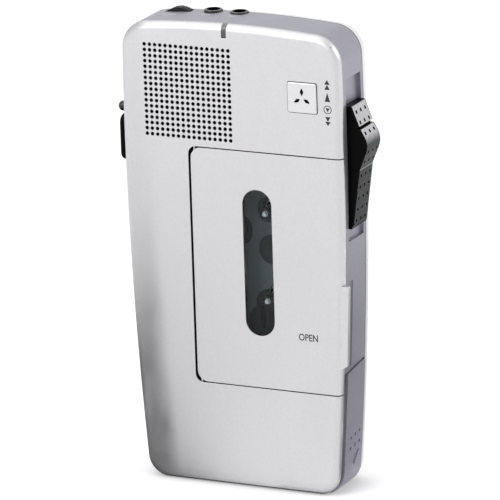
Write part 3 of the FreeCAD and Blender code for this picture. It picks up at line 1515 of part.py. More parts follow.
def rear_shell():
    body = new_body("rear_tray")
    tray = Drawing(body, "front", rear_seam).casing().pad(size.rear_depth)
    back = size.case_depth.number
    round_edges(body, tray, size.rear_round, lambda box: box.YMin > back - tiny)
    hollow = new_body("rear_hollow")
    room = Drawing(hollow, "front", rear_seam - size.wall).casing(size.wall).pad(size.rear_depth)
    inner_back = (size.case_depth - size.wall).number
    inner_round = size.rear_round - size.wall
    round_edges(hollow, room, inner_round, lambda box: box.YMin > inner_back - tiny)
    bosses = []
    holes = []
    base = size.case_depth - size.wall
    screw_seat = size.case_depth - size.screw_sunk
    for x, z in boss_places:
        bosses.append(rod("y", size.boss_radius, deck_back, base, x, z))
        bosses.append(rod("y", size.boss_collar, board_back, base, x, z))
        beyond_back = size.case_depth + size.wall
        holes.append(rod("y", size.screw_radius + size.slide_gap, size.deck_front, size.case_depth, x, z))
        holes.append(rod("y", size.screw_head + size.slide_gap, screw_seat, beyond_back, x, z))
    shell = without(body, [hollow])
    keep(without(joined([shell] + bosses), holes + socket_cuts()), "rear_shell")


def case_screws():
    seat = size.case_depth - size.screw_sunk
    front = seat - size.screw_length
    head_back = seat + size.screw_head_height
    screws = [
        turned("case_screw", x, z, [
            (0, front),
            (size.screw_radius, front),
            (size.screw_radius, seat),
            (size.screw_head, seat),
            (size.screw_head, head_back),
            (0, head_back),
        ])
        for x, z in boss_places
    ]
    group("case_screws", screws)


def battery_door():
    gap = size.nip_gap
    outer = casing_block(size.cover_front, size.cover_back - size.cover_front, -size.cover_proud)
    inner = casing_block(size.wall, size.case_depth, size.cover_sunk - gap)
    reach = cover_blank(cover_left, size.cover_front, size.cover_back, 0)
    cover = without(shared(outer, reach), [inner])
    half = size.cell_radius + size.cell_gap - size.slide_gap
    tongue = shared(
        block(tongue_left, size.widest_width, size.cell_depth - half, size.cell_depth + half,
              size.tongue_low, size.tongue_top),
        casing_block(size.wall, size.case_depth, size.cover_sunk / 2),
    )
    keep(without(joined([cover, tongue]), [arrow(), door_dimples()]), "battery_door")
    bridge_half = size.contact_half
    bridge = block(tongue_left - size.contact_sheet, tongue_left, size.cell_depth - bridge_half,
                   size.cell_depth + bridge_half, size.lower_cell_z - size.wall,
                   upper_cell_z + bridge_half)
    keep(bridge, "battery_bridge")


def door_face(height):
    # A plane that touches the battery door's curved face at a height: its place and its lean.
    x = half_width(height) + size.cover_proud
    rise = size.widest_height.number - height.number
    lean = math.degrees(math.asin(rise / size.side_radius.number))
    return x, lean


def face_drawing(body, height, below):
    x, lean = door_face(height)
    drawing = Drawing(body, "side", x - below, x=size.cover_mark_depth, y=height)
    drawing.sketch.AttachmentOffset = FreeCAD.Placement(
        drawing.sketch.AttachmentOffset.Base, FreeCAD.Rotation(vector(1, 0, 0), lean)
    )
    return drawing


def arrow():
    middle = (size.arrow_top + size.arrow_tip) / 2
    half_tall = (size.arrow_top - size.arrow_tip) / 2
    half_wide = size.arrow_width / 2
    body = new_body("arrow")
    lift = half_wide * cover_slope
    drawing = face_drawing(body, middle, size.dimple_depth)
    drawing.polygon([(0, -half_tall), (half_wide, half_tall + lift), (-half_wide, half_tall - lift)])
    drawing.pad(size.beyond)
    return body


def door_dimples():
    body = new_body("door_dimples")
    drawing = face_drawing(body, size.cover_dimple_z, size.dimple_depth)
    half = size.dimple_side / 2
    for row in (-0.5, 0.5):
        for column in (-1, 0, 1):
            x = size.dimple_pitch * column
            z = size.cover_row_pitch * row + x * cover_slope
            drawing.rectangle(x - half, x + half, z - half, z + half)
    drawing.pad(size.beyond)
    return body


def battery_bay():
    gap, wall = size.cell_gap, size.tray_wall
    half = size.cell_radius + gap
    cell_left = tray_right - size.cell_length
    inside_left = cell_left - size.contact_room
    low, high = size.lower_cell_z - half, upper_cell_z + half
    front, back = size.cell_depth - half, size.cell_depth + half
    outside = block(inside_left - wall, tray_right, front - wall, back + wall, low - wall, high + wall)
    inside = block(inside_left, tray_right + wall, front, back, low, high)
    casing = casing_block(size.wall, size.case_depth - size.wall * 2, size.wall + size.slide_gap)
    keep(shared(without(outside, [inside]), casing), "battery_tray")
    group("battery_cells", [battery_cell(size.lower_cell_z, True), battery_cell(upper_cell_z, False)])
    contact = size.contact_half
    sheet = size.contact_sheet
    flat = block(inside_left, inside_left + sheet, size.cell_depth - contact, size.cell_depth + contact,
                 upper_cell_z - contact, upper_cell_z + contact)
    button = rod("x", size.nub_radius, inside_left, cell_left - size.shaft_gap, size.cell_depth, upper_cell_z)
    keep(joined([flat, button]), "positive_contact")
    leaf = new_body("negative_contact")
    room = size.contact_room - size.shaft_gap
    Drawing(leaf, "front", size.cell_depth - contact).polygon([
        (inside_left, size.lower_cell_z - contact),
        (inside_left + sheet, size.lower_cell_z - contact),
        (inside_left + sheet, size.lower_cell_z + contact - sheet * 2),
        (inside_left + room - sheet, size.lower_cell_z - contact + sheet),
        (inside_left + room, size.lower_cell_z - contact + sheet),
        (inside_left + sheet, size.lower_cell_z + contact),
        (inside_left, size.lower_cell_z + contact),
    ]).pad(contact * 2)
    keep(leaf, "negative_contact")


def battery_cell(z, nub_right):
    # The can and its nub, turned about an axis along X.
    left, right = tray_right - size.cell_length, tray_right
    profile = [(left, 0), (right, 0), (right, size.nub_radius), (right - size.nub_length, size.nub_radius),
               (right - size.nub_length, size.cell_radius), (left, size.cell_radius)]
    if not nub_right:
        profile = [(left + right - x, radius) for x, radius in profile]
    body = new_body("cell")
    Drawing(body, "top", z, y=size.cell_depth).polygon(profile).revolve("H_Axis")
    return body


def record_shape(gap, out, flange=False):
    # The record button's long rounded bar, or the hole for it, or its flange.
    body = new_body("record_shape")
    radius = size.record_radius + gap
    low = size.record_low + size.record_radius
    top = size.record_top - size.record_radius
    start, length = -sized(out), sized(out) - flange_face + size.flange_height
    if flange:
        radius = radius + size.button_flange
        top = top - size.button_flange * 3
        start, length = -flange_face, size.flange_height
    drawing = Drawing(body, "side", start)
    drawing.wrap([(size.record_depth, low, radius), (size.record_depth, top, radius)])
    drawing.pad(length)
    return body


def side_buttons():
    out = half_width((size.record_low + size.record_top) / 2) + size.record_out
    bar = record_shape(0, out)
    bar_out = -out.number
    round_edges(bar, bar.Tip, size.record_round, lambda box: box.XMax < bar_out + tiny)
    record_z = (size.record_low + size.record_top) / 2
    record_stem = plunger(size.record_depth, record_z)
    keep(joined([bar, record_shape(0, out, True), record_stem]), "record_button")
    tip = half_width(size.index_z) + size.index_out
    face = flange_face
    radius = size.index_radius
    flange_radius = radius + size.button_flange
    back = face - size.flange_height
    index = new_body("index_stem")
    Drawing(index, "top", size.index_z, y=size.index_depth).polygon([
        (-tip + radius, 0),
        (-back, 0),
        (-back, flange_radius),
        (-face, flange_radius),
        (-face, radius),
        (-tip + radius, radius),
    ]).revolve("H_Axis")
    dome = doc.addObject("Part::Sphere", "dome")
    bind(dome, "Radius", radius)
    bind(dome, "Placement.Base.x", -tip + radius)
    bind(dome, "Placement.Base.y", size.index_depth - size.case_depth / 2)
    bind(dome, "Placement.Base.z", size.index_z)
    keep(joined([index, dome, plunger(size.index_depth, size.index_z)]), "index_button")
    keys = [key_switch(size.record_depth, record_z), key_switch(size.index_depth, size.index_z)]
    group("key_switches", keys)
    board = block(-key_board_x, -key_board_x + size.key_board_sheet, size.key_board_front,
                  size.deck_front, size.key_board_low, size.key_board_top)
    keep(board, "button_board")


def plunger(depth, z):
    # The stem that stands on a button's flange and slides in its key switch.
    flange_middle = flange_face - size.flange_height / 2
    return rod("x", size.plunger_radius, -flange_middle, -plunger_tip(), depth, z)


def plunger_tip():
    return flange_face - size.flange_height - size.plunger_length


def key_switch(depth, z):
    half = size.key_half
    front_face = key_board_x + size.key_height
    housing = block(-front_face, -key_board_x, depth - half, depth + half, z - half, z + half)
    bore_end = plunger_tip() - size.button_travel - size.slide_gap
    bore = rod("x", size.plunger_radius + size.shaft_gap, -front_face - size.wall, -bore_end, depth, z)
    return without(housing, [bore])


def volume_control():
    x, z = size.volume_x, volume_z
    front, back = size.volume_front, size.volume_front + size.volume_height
    wheel = disc("knurled_wheel", x, z, size.volume_radius, front, back)
    notch = Drawing(wheel, "front", front, x=x, y=z)
    notch.circle(0, size.volume_radius, size.knurl_radius)
    knurl = wheel.newObject("PartDesign::PolarPattern", "knurl")
    knurl.Originals = [notch.pocket(size.volume_height)]
    knurl.Axis = (notch.sketch, ["N_Axis"])
    knurl.Angle = 360
    bind(knurl, "Occurrences", size.knurl_count)
    wheel.Tip = knurl
    pot_front = size.board_front - size.pot_height
    shaft = rod("y", size.volume_shaft, front, size.board_front - size.shaft_gap, x, z)
    keep(joined([wheel, shaft]), "volume_wheel")
    body = block(x - size.pot_half, x + size.pot_half, pot_front, size.board_front,
                 pot_low, pot_top)
    bore = rod("y", size.volume_shaft + size.shaft_gap, pot_front - size.wall, size.case_depth, x, z)
    keep(without(body, [bore]), "volume_potentiometer")


def jack_socket(node, x):
    half = size.socket_half
    front = size.board_front - (size.board_front - size.socket_depth) * 2
    body = block(x - half, x + half, front, size.board_front, socket_low, socket_body_top)
    collar = new_body("collar")
    pad = Drawing(collar, "top", socket_body_top).circle(x, size.socket_depth, size.collar_radius)
    pad = pad.pad(collar_top - socket_body_top)
    top = collar_top.number
    round_edges(collar, pad, size.collar_edge, lambda box: box.ZMin > top - tiny)
    bore = rod("z", size.socket_bore, collar_top - size.bore_length, collar_top + size.wall,
               x, size.socket_depth)
    keep(without(joined([body, collar]), [bore]), node)


def circuit_board():
    front = size.board_front
    board = block(-board_half, board_half, front, board_back, size.board_low, board_top)
    holes = [
        rod("y", size.boss_radius + size.nip_gap, front - size.wall, board_back + size.wall, x, z)
        for x, z in boss_places
    ]
    keep(without(board, holes), "circuit_board")
    chip_back = board_back + size.chip_height
    chips = [
        (size.amplifier_x, size.amplifier_z, size.amplifier_side),
        (size.mixer_x, size.mixer_z, size.mixer_side),
        (size.servo_x, size.servo_z, size.servo_side),
        (size.supply_x, size.supply_z, size.supply_side),
    ]
    components = [block(x, x + side, board_back, chip_back, z, z + side) for x, z, side in chips]
    middle = front - size.capacitor_radius - size.shaft_gap
    capacitor_count = 4
    for place in range(capacitor_count):
        low = size.capacitor_z + size.capacitor_pitch * place
        components.append(
            rod("z", size.capacitor_radius, low, low + size.capacitor_length, size.capacitor_x, middle)
        )
    group("board_components", components)


front_shell()
side_frame()
rear_shell()
case_screws()
loudspeaker()
microphone()
recording_lamp()
cassette_door()
door_catch()
deck()
cassette_well()
spindle("supply", size.upper_spindle_z)
spindle("takeup", lower_spindle_z)
spindle_bushes()
drive_train()
motor()
head_slide()
slide_switch()
slide_plate()
battery_door()
battery_bay()
side_buttons()
volume_control()
jack_socket("ear_socket", size.ear_x)
jack_socket("microphone_socket", size.microphone_x)
circuit_board()
doc.recompute()

for thing in doc.Objects:
    if "Invalid" in thing.State or "Error" in thing.State:
        raise RuntimeError(f"{thing.Name} failed: {thing.State}")
for thing in nodes:
    if thing.Shape.isNull() or not thing.Shape.isValid() or thing.Shape.Volume < tiny:
        raise RuntimeError(f"{thing.Label} has no valid solid")

os.makedirs("parts", exist_ok=True)
for thing in nodes:
    thing.Shape.exportStep(f"parts/{thing.Label}.step")
    print(f"{thing.Label}: {len(thing.Shape.Solids)} solids, {thing.Shape.Volume:.1f} mm3")
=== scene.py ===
import math

import bpy
import numpy as np
from mathutils import Matrix, Vector


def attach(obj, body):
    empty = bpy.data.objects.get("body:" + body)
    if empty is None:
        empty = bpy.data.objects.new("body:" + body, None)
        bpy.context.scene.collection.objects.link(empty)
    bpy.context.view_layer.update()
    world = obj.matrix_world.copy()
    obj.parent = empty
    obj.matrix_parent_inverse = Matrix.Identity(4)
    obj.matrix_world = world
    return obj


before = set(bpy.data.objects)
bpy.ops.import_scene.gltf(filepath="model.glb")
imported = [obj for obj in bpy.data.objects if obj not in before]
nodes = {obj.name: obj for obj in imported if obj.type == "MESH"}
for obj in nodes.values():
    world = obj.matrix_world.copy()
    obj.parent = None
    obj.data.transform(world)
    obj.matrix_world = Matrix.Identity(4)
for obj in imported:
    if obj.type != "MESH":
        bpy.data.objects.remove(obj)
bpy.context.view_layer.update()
mm = 0.001
print("frame loaded,", len(nodes), "nodes")

# The casing's outline in millimetres, as the part's source draws it.
casing = {
    "height": 125.0,
    "depth": 19.6,
    "widest": 62.7,
    "widestHeight": 96.0,
    "sideRadius": 1140.0,
    "crownRadius": 285.0,
    "rearSeam": 14.5,
    # How the pressed front rolls off towards each side of its outline: width and steepness.
    "rolls": {"Left": (11.0, 0.32), "Right": (3.0, 0.05), "Top": (5.0, 0.08), "Foot": (4.5, 0.12)},
    # Where painted shade darkens the front's openings: distance inside the outline, and depth below the
    # face.
    "openingInside": (2.0, 2.3),
    "openingDepth": (0.3, 0.8),
}
face = -casing["depth"] / 2


def crownZ(x):
    # Height of the top edge: the crown's circle about a centre on the middle line.
    radius = casing["crownRadius"]
    return casing["height"] - radius + np.sqrt(radius ** 2 - x ** 2)


def depthY(depth):
    # A depth behind the front face, as a place along Y.
    return depth + face


# Building blocks for shader trees.
def newGroup(name, inputs, outputs):
    # A shader group with the named sockets; gives its tree, its inputs and its outputs.
    group = bpy.data.node_groups.new(name, "ShaderNodeTree")
    for socket, kind, value in inputs:
        made = group.interface.new_socket(socket, in_out="INPUT", socket_type=kind)
        if value is not None:
            made.default_value = value
    for socket, kind in outputs:
        group.interface.new_socket(socket, in_out="OUTPUT", socket_type=kind)
    given = group.nodes.new("NodeGroupInput").outputs
    return group, given, group.nodes.new("NodeGroupOutput").inputs


def feed(tree, socket, value):
    # Links a socket to another, or sets its value.
    if isinstance(value, bpy.types.NodeSocket):
        tree.links.new(value, socket)
    else:
        socket.default_value = value


def addNode(tree, kind, settings=None, places=(), **inputs):
    # A node with its settings; its inputs are fed by place or by name.
    node = tree.nodes.new(kind)
    for name, value in (settings or {}).items():
        setattr(node, name, value)
    for place, value in enumerate(places):
        feed(tree, node.inputs[place], value)
    for name, value in inputs.items():
        feed(tree, node.inputs[name.replace("_", " ")], value)
    return node


def calc(tree, operation, *values, clamp=False):
    # One step of arithmetic.
    settings = {"operation": operation, "use_clamp": clamp}
    return addNode(tree, "ShaderNodeMath", settings, values).outputs[0]


def mixColour(tree, share, first, second):
    # From the first colour at nought to the second at one.
    node = addNode(tree, "ShaderNodeMix", {"data_type": "RGBA"})
    for place, value in ((0, share), (6, first), (7, second)):
        feed(tree, node.inputs[place], value)
    return node.outputs[2]


def ramp(tree, value, low, high, start=0.0, end=1.0, smooth=True):
    # Turns low to high into start to end, and holds both ends.
    settings = {"interpolation_type": "SMOOTHSTEP" if smooth else "LINEAR"}
    return addNode(tree, "ShaderNodeMapRange", settings, (value, low, high, start, end)).outputs[0]


def cloud(tree, vector, scale, detail=2.0, roughness=0.5):
    # Soft noise, mostly between a quarter and three quarters.
    return addNode(tree, "ShaderNodeTexNoise", Vector=vector, Scale=scale, Detail=detail,
                   Roughness=roughness).outputs[0]


def roundedNormal(tree, radius):
    # The normal of edges rounded over a radius in millimetres.
    return addNode(tree, "ShaderNodeBevel", {"samples": 4}, Radius=radius * mm).outputs[0]


def bumpedNormal(tree, height, **normal):
    # A normal tilted by a height in metres.
    return addNode(tree, "ShaderNodeBump", Strength=1.0, Distance=1.0, Height=height, **normal).outputs[0]


def objectPlace(tree):
    # The point in the object's own frame, in metres.
    return addNode(tree, "ShaderNodeTexCoord").outputs["Object"]


def axes(tree):
    # The three object coordinates, in millimetres.
    parts = addNode(tree, "ShaderNodeSeparateXYZ", places=[objectPlace(tree)])
    return [calc(tree, "DIVIDE", part, mm) for part in parts.outputs]


def tone(red, green, blue):
    # A colour given as it looks on screen, 0 to 255, turned into light.
    parts = np.array([red, green, blue]) / 255
    light = np.where(parts <= 0.04045, parts / 12.92, ((parts + 0.055) / 1.055) ** 2.4)
    return (*[float(part) for part in light], 1.0)


def useGroup(tree, group, **inputs):
    # Puts a shader group into a tree; gives its outputs.
    node = tree.nodes.new("ShaderNodeGroup")
    node.node_tree = group
    for name, value in inputs.items():
        feed(tree, node.inputs[name], value)
    return node.outputs


# Shader groups that several finishes share. Their sizes and depths are in millimetres.
def makeFleckGroup():
    # Fine flecks: two sizes of noise added up, as a mask and as a bump on the given normal.
    group, given, out = newGroup(
        "surfaceFlecks",
        [
            ("Size", "NodeSocketFloat", 0.25),
            ("Depth", "NodeSocketFloat", 0.01),
            ("Normal", "NodeSocketVector", None),
        ],
        [("Mask", "NodeSocketFloat"), ("Normal", "NodeSocketVector")],
    )
    coarser, fineShare = 0.31, 0.65
    place = objectPlace(group)
    scale = calc(group, "DIVIDE", 1 / mm, given["Size"])
    fine = cloud(group, place, scale)
    coarse = cloud(group, place, calc(group, "MULTIPLY", scale, coarser), 3.0, 0.6)
    both = calc(group, "MULTIPLY_ADD", coarse, 1 - fineShare, calc(group, "MULTIPLY", fine, fineShare))
    mask = ramp(group, both, 0.35, 0.65, smooth=False)
    height = calc(group, "MULTIPLY", calc(group, "MULTIPLY", given["Depth"], mm), mask)
    group.links.new(mask, out["Mask"])
    group.links.new(bumpedNormal(group, height, Normal=given["Normal"]), out["Normal"])
    return group


def makeWearGroup():
    # Where edges rub: how far the true normal is from one rounded over a small radius,
    # broken up by a coarse noise.
    group, given, out = newGroup(
        "edgeWear",
        [("Rounded", "NodeSocketVector", None), ("Amount", "NodeSocketFloat", 0.5)],
        [("Mask", "NodeSocketFloat")],
    )
    true = addNode(group, "ShaderNodeNewGeometry").outputs["Normal"]
    same = addNode(group, "ShaderNodeVectorMath", {"operation": "DOT_PRODUCT"}, (given["Rounded"], true))
    edge = ramp(group, calc(group, "SUBTRACT", 1.0, same.outputs["Value"]), 0.02, 0.3)
    patches = ramp(group, cloud(group, objectPlace(group), 420.0, 4.0, 0.65), 0.42, 0.62)
    worn = calc(group, "MULTIPLY", calc(group, "MULTIPLY", edge, patches), given["Amount"])
    group.links.new(worn, out["Mask"])
    return group


def makeHandlingGroup():
    # Handling marks: a slow, stretched noise that varies gloss and tone over centimetres.
    group, given, out = newGroup(
        "handlingMarks",
        [("Size", "NodeSocketFloat", 12.0)],
        [("Mask", "NodeSocketFloat")],
    )
    shift, turn, stretch = (0, 0, 0), (0.2, 0.4, 0.7), (1.0, 1.0, 0.55)
    places = [objectPlace(group), shift, turn, stretch]
    turned = addNode(group, "ShaderNodeMapping", places=places).outputs[0]
    slow = cloud(group, turned, calc(group, "DIVIDE", 1 / mm, given["Size"]), 5.0, 0.58)
    group.links.new(ramp(group, slow, 0.3, 0.7), out["Mask"])
    return group


def makeOutlineGroup():
    # How far a point lies inside the front's outline, in millimetres: from the two side arcs,
    # from the crown's arc and from the foot.
    sockets = [(side, "NodeSocketFloat") for side in casing["rolls"]]
    group, given, out = newGroup("outlineDistance", [], sockets)
    x, y, z = axes(group)
    side, crown = casing["sideRadius"], casing["crownRadius"]
    rise = calc(group, "SUBTRACT", z, casing["widestHeight"])
    arc = calc(group, "SQRT", calc(group, "SUBTRACT", side ** 2, calc(group, "MULTIPLY", rise, rise)))
    half = calc(group, "ADD", arc, casing["widest"] / 2 - side)
    arch = calc(group, "SQRT", calc(group, "SUBTRACT", crown ** 2, calc(group, "MULTIPLY", x, x)))
    top = calc(group, "ADD", arch, casing["height"] - crown)
    group.links.new(calc(group, "ADD", half, x), out["Left"])
    group.links.new(calc(group, "SUBTRACT", half, x), out["Right"])
    group.links.new(calc(group, "SUBTRACT", top, z), out["Top"])
    group.links.new(z, out["Foot"])
    return group


def makeRollGroup():
    # The pressed front rolls off softly towards its outline. With u the distance from the edge over
    # the roll's width, the height is steepness * width * peak * (u^2/2 - 2u^3/3 + u^4/4), whose
    # slope is steepness * peak * u * (1 - u)^2: nought at both ends, and steepest at a third.
    group, given, out = newGroup(
        "rolledOutline",
        [("Strength", "NodeSocketFloat", 1.0)],
        [("Height", "NodeSocketFloat")],
    )
    peak = 27 / 4
    distance = useGroup(group, outlineGroup)
    total = 0.0
    for side, (width, steepness) in casing["rolls"].items():
        share = calc(group, "DIVIDE", distance[side], width, clamp=True)
        square = calc(group, "MULTIPLY", share, share)
        inner = calc(group, "MULTIPLY_ADD", square, 1 / 4, calc(group, "MULTIPLY_ADD", share, -2 / 3, 1 / 2))
        rise = calc(group, "MULTIPLY", calc(group, "MULTIPLY", square, inner), peak * mm * width * steepness)
        total = calc(group, "ADD", total, rise)
    group.links.new(calc(group, "MULTIPLY", total, given["Strength"]), out["Height"])
    return group


def makeDeepShadeGroup():
    # Painted shade: openings in the front are darkened from a little below its face, but only well
    # inside the outline, so that the outer edge keeps its lacquer.
    group, given, out = newGroup("paintedDeepShade", [], [("Mask", "NodeSocketFloat")])
    depth = calc(group, "SUBTRACT", axes(group)[1], face)
    inside = 1.0
    for side, distance in useGroup(group, outlineGroup).items():
        inside = calc(group, "MULTIPLY", inside, ramp(group, distance, *casing["openingInside"]))
    deepShade = calc(group, "MULTIPLY", inside, ramp(group, depth, *casing["openingDepth"]))
    group.links.new(deepShade, out["Mask"])
    return group


def makeOcclusionShadeGroup():
    # Painted shade in narrow, deep places, where black parts lie behind: the share of open sky over a
    # short distance, turned round and sharpened, darkens them. The distance is in metres.
    group, given, out = newGroup(
        "paintedOcclusionShade",
        [
            ("Distance", "NodeSocketFloat", 0.0012),
            ("Open", "NodeSocketFloat", 0.8),
            ("Shut", "NodeSocketFloat", 0.4),
        ],
        [("Mask", "NodeSocketFloat")],
    )
    sky = addNode(group, "ShaderNodeAmbientOcclusion", {"samples": 8}, Distance=given["Distance"])
    group.links.new(ramp(group, sky.outputs["AO"], given["Open"], given["Shut"]), out["Mask"])
    return group


fleckGroup = makeFleckGroup()
occlusionShadeGroup = makeOcclusionShadeGroup()
wearGroup = makeWearGroup()
handlingGroup = makeHandlingGroup()
outlineGroup = makeOutlineGroup()
rollGroup = makeRollGroup()
deepShadeGroup = makeDeepShadeGroup()
print("shader groups made,", len(bpy.data.node_groups), "groups")


def newMaterial(name):
    # A material with its tree and the inputs of its shader.
    material = bpy.data.materials.new(name)
    material.use_nodes = True
    tree = material.node_tree
    return material, tree, tree.nodes["Principled BSDF"].inputs


def finish(name, first, second, rough, metal=0.0, coat=0.0, fleck=0.25, depth=0.01, wear=0.0, worn=None,
           marks=12.0, spread=0.08, coatRough=0.1, roll=0.0, occlusionShade=None, seam=0.0, shine=0.5):
    # A moulded, lacquered or metal surface: two tones mixed by flecks and handling marks, with
    # softened edges that are worn lighter and narrow places darkened by painted shade. Sizes and depths
    # are in millimetres; spread is how far handling moves the roughness either way.
    edge, fleckShare, seamStrength = 0.15, 0.7, 0.8
    # The near black that the painted shade in narrow places mixes towards, and the joint line's grey.
    shade, seamShade = tone(6, 6, 7), tone(40, 40, 44)
    material, tree, shader = newMaterial(name)
    rounded = roundedNormal(tree, edge)
    base = rounded
    if roll:
        base = bumpedNormal(tree, useGroup(tree, rollGroup, Strength=roll)["Height"], Normal=rounded)
    flecks = useGroup(tree, fleckGroup, Size=fleck, Depth=depth, Normal=base)
    handled = useGroup(tree, handlingGroup, Size=marks)["Mask"]
    flecked = calc(tree, "MULTIPLY", flecks["Mask"], fleckShare)
    share = calc(tree, "MULTIPLY_ADD", handled, 1 - fleckShare, flecked)
    colour = mixColour(tree, share, first, second)
    if wear:
        rubbed = useGroup(tree, wearGroup, Rounded=rounded, Amount=wear)["Mask"]
        colour = mixColour(tree, rubbed, colour, worn)
    # Painted shade: narrow, deep places and the front's openings are darkened towards near black.
    if occlusionShade:
        opened, shut = occlusionShade
        paintedShade = useGroup(tree, occlusionShadeGroup, Open=opened, Shut=shut)["Mask"]
        if roll:
            paintedShade = calc(tree, "MAXIMUM", paintedShade, useGroup(tree, deepShadeGroup)["Mask"])
        colour = mixColour(tree, paintedShade, colour, shade)
    if seam:
        # A dark line, as wide on each side as given, where the two mouldings meet.
        behind = calc(tree, "SUBTRACT", axes(tree)[1], depthY(casing["rearSeam"]))
        line = ramp(tree, calc(tree, "ABSOLUTE", behind), seam, seam / 3)
        colour = mixColour(tree, calc(tree, "MULTIPLY", line, seamStrength), colour, seamShade)
    feed(tree, shader["Base Color"], colour)
    gloss = ramp(tree, handled, 0.0, 1.0, rough - spread, rough + spread, smooth=False)
    feed(tree, shader["Roughness"], gloss)
    feed(tree, shader["Normal"], flecks["Normal"])
    shader["Specular IOR Level"].default_value = shine
    shader["Metallic"].default_value = metal
    shader["Coat Weight"].default_value = coat
    shader["Coat Roughness"].default_value = coatRough
    return material


# Finishes of this recorder.
frontLacquer = finish("frontLacquer", tone(193, 192, 194), tone(209, 208, 210), 0.4, metal=0.92, coat=0.1,
                      fleck=0.2, depth=0.006, wear=0.35, worn=tone(240, 240, 240), coatRough=0.28, roll=1.0,
                      occlusionShade=(0.72, 0.45))
tileLacquer = finish("tileLacquer", tone(203, 202, 204), tone(217, 216, 218), 0.4, metal=0.92, coat=0.1,
                     fleck=0.2, depth=0.006, wear=0.6, worn=tone(250, 250, 250), coatRough=0.28,
                     occlusionShade=(0.6, 0.4))
rearLacquer = finish("rearLacquer", tone(226, 226, 228), tone(240, 240, 242), 0.4, metal=0.5, coat=0.2,
                     fleck=0.2, depth=0.006, wear=0.3, worn=tone(246, 246, 246), coatRough=0.3, seam=0.25)
bandLacquer = finish("bandLacquer", tone(147, 146, 157), tone(163, 162, 173), 0.42, metal=0.6, coat=0.1,
                     fleck=0.24, depth=0.008, wear=0.3, worn=tone(196, 196, 204), coatRough=0.3, seam=0.35)
blackGloss = finish("blackGloss", tone(4, 4, 5), tone(10, 10, 11), 0.12, coat=0.25, fleck=0.6, depth=0.002,
                    marks=5.0, spread=0.05, coatRough=0.05, shine=0.35)
blackMoulding = finish("blackMoulding", tone(9, 9, 10), tone(19, 19, 20), 0.42, fleck=0.16, depth=0.012,
                       wear=0.25, worn=tone(60, 60, 64), shine=0.3)
switchBlack = finish("switchBlack", tone(5, 5, 6), tone(12, 12, 13), 0.3, fleck=0.16, depth=0.006,
                     wear=0.2, worn=tone(60, 60, 64), shine=0.03)
greyMoulding = finish("greyMoulding", tone(92, 93, 96), tone(104, 105, 108), 0.5, fleck=0.3, depth=0.01)
whiteMoulding = finish("whiteMoulding", tone(214, 212, 204), tone(226, 224, 217), 0.45, fleck=0.4,
                       depth=0.008)
bareSteel = finish("bareSteel", tone(176, 177, 178), tone(196, 197, 198), 0.3, metal=1.0, fleck=0.5,
                   depth=0.004, marks=6.0, spread=0.1)
nickelSpring = finish("nickelSpring", tone(205, 202, 194), tone(220, 218, 210), 0.22, metal=1.0, fleck=0.6,
                      depth=0.003, marks=4.0)
turnedBrass = finish("turnedBrass", tone(196, 160, 92), tone(214, 180, 112), 0.28, metal=1.0, fleck=0.3,
                     depth=0.004, marks=3.0)
softRubber = finish("softRubber", tone(24, 24, 25), tone(36, 36, 37), 0.8, fleck=0.12, depth=0.02)
sinteredMagnet = finish("sinteredMagnet", tone(52, 52, 55), tone(70, 70, 74), 0.6, fleck=0.2, depth=0.03)
boardGreen = finish("boardGreen", tone(28, 84, 48), tone(42, 104, 62), 0.35, coat=0.3, fleck=0.9, depth=0.01,
                    marks=3.0)
cellJacket = finish("cellJacket", tone(60, 64, 72), tone(76, 80, 90), 0.3, metal=0.6, fleck=0.4, depth=0.004)


# The door's window.
pane = {
    "tints": ((0.80, 0.86, 0.89, 1), (0.83, 0.89, 0.92, 1)),
    "bend": 1.2,                           # how strongly it bends light
    "edge": 0.2,                           # radius that its edges are rounded over
}


def makeSmokedPane():
    # Clear plastic, tinted: light passes it twice, so each face takes about half. Faint clouding
    # varies the tint.
    material, tree, shader = newMaterial("smokedPane")
    handled = useGroup(tree, handlingGroup, Size=9.0)["Mask"]
    rounded = roundedNormal(tree, pane["edge"])
    feed(tree, shader["Base Color"], mixColour(tree, handled, *pane["tints"]))
    feed(tree, shader["Roughness"], ramp(tree, handled, 0.0, 1.0, 0.03, 0.08, smooth=False))
    feed(tree, shader["Normal"], useGroup(tree, fleckGroup, Size=2.5, Depth=0.004, Normal=rounded)["Normal"])
    shader["Transmission Weight"].default_value = 1.0
    shader["IOR"].default_value = pane["bend"]
    return material


# The lamp's strip turns paler between two heights, in millimetres: a painted highlight where it turns over
# the top edge.
strip = {
    "low": 122.6, "high": 126.4,
    "drift": 2.2,                          # how far clouding moves these heights
    "edge": 0.15,
}


def makeLampLens():
    # Dark translucent strip: smoky plastic, clouded and with a painted highlight towards its upper end,
    # where it turns over the top.
    material, tree, shader = newMaterial("lampLens")
    z = axes(tree)[2]
    drift = calc(tree, "MULTIPLY_ADD", cloud(tree, objectPlace(tree), 900.0, 3.0), strip["drift"], z)
    # Painted highlight on the strip's upper end, where it faces the light from above.
    foldHighlight = ramp(tree, drift, strip["low"], strip["high"])
    rounded = roundedNormal(tree, strip["edge"])
    feed(tree, shader["Base Color"], mixColour(tree, foldHighlight, tone(44, 42, 42), tone(128, 124, 122)))
    feed(tree, shader["Roughness"], ramp(tree, foldHighlight, 0.0, 1.0, 0.12, 0.3))
    feed(tree, shader["Normal"], useGroup(tree, fleckGroup, Size=0.8, Depth=0.004, Normal=rounded)["Normal"])
    shader["Transmission Weight"].default_value = 0.25
    shader["Coat Weight"].default_value = 0.5
    return material


# The switch's two pads, with heights in millimetres.
pads = {
    "graphiteTop": 95.0,                   # graphite up to here
    "silverFoot": 98.2,                    # silver from here
    "grain": 0.8,                          # how far flecks move these heights
    "crease": 88.2,                        # painted highlight along the crease across the lower pad
    "creaseHalf": (0.16, 0.08),            # where it ends, and where it is full
    "dimple": 1.4,                         # how near a dimple's walls are, for the painted shade inside it
    "edge": 0.2,
}


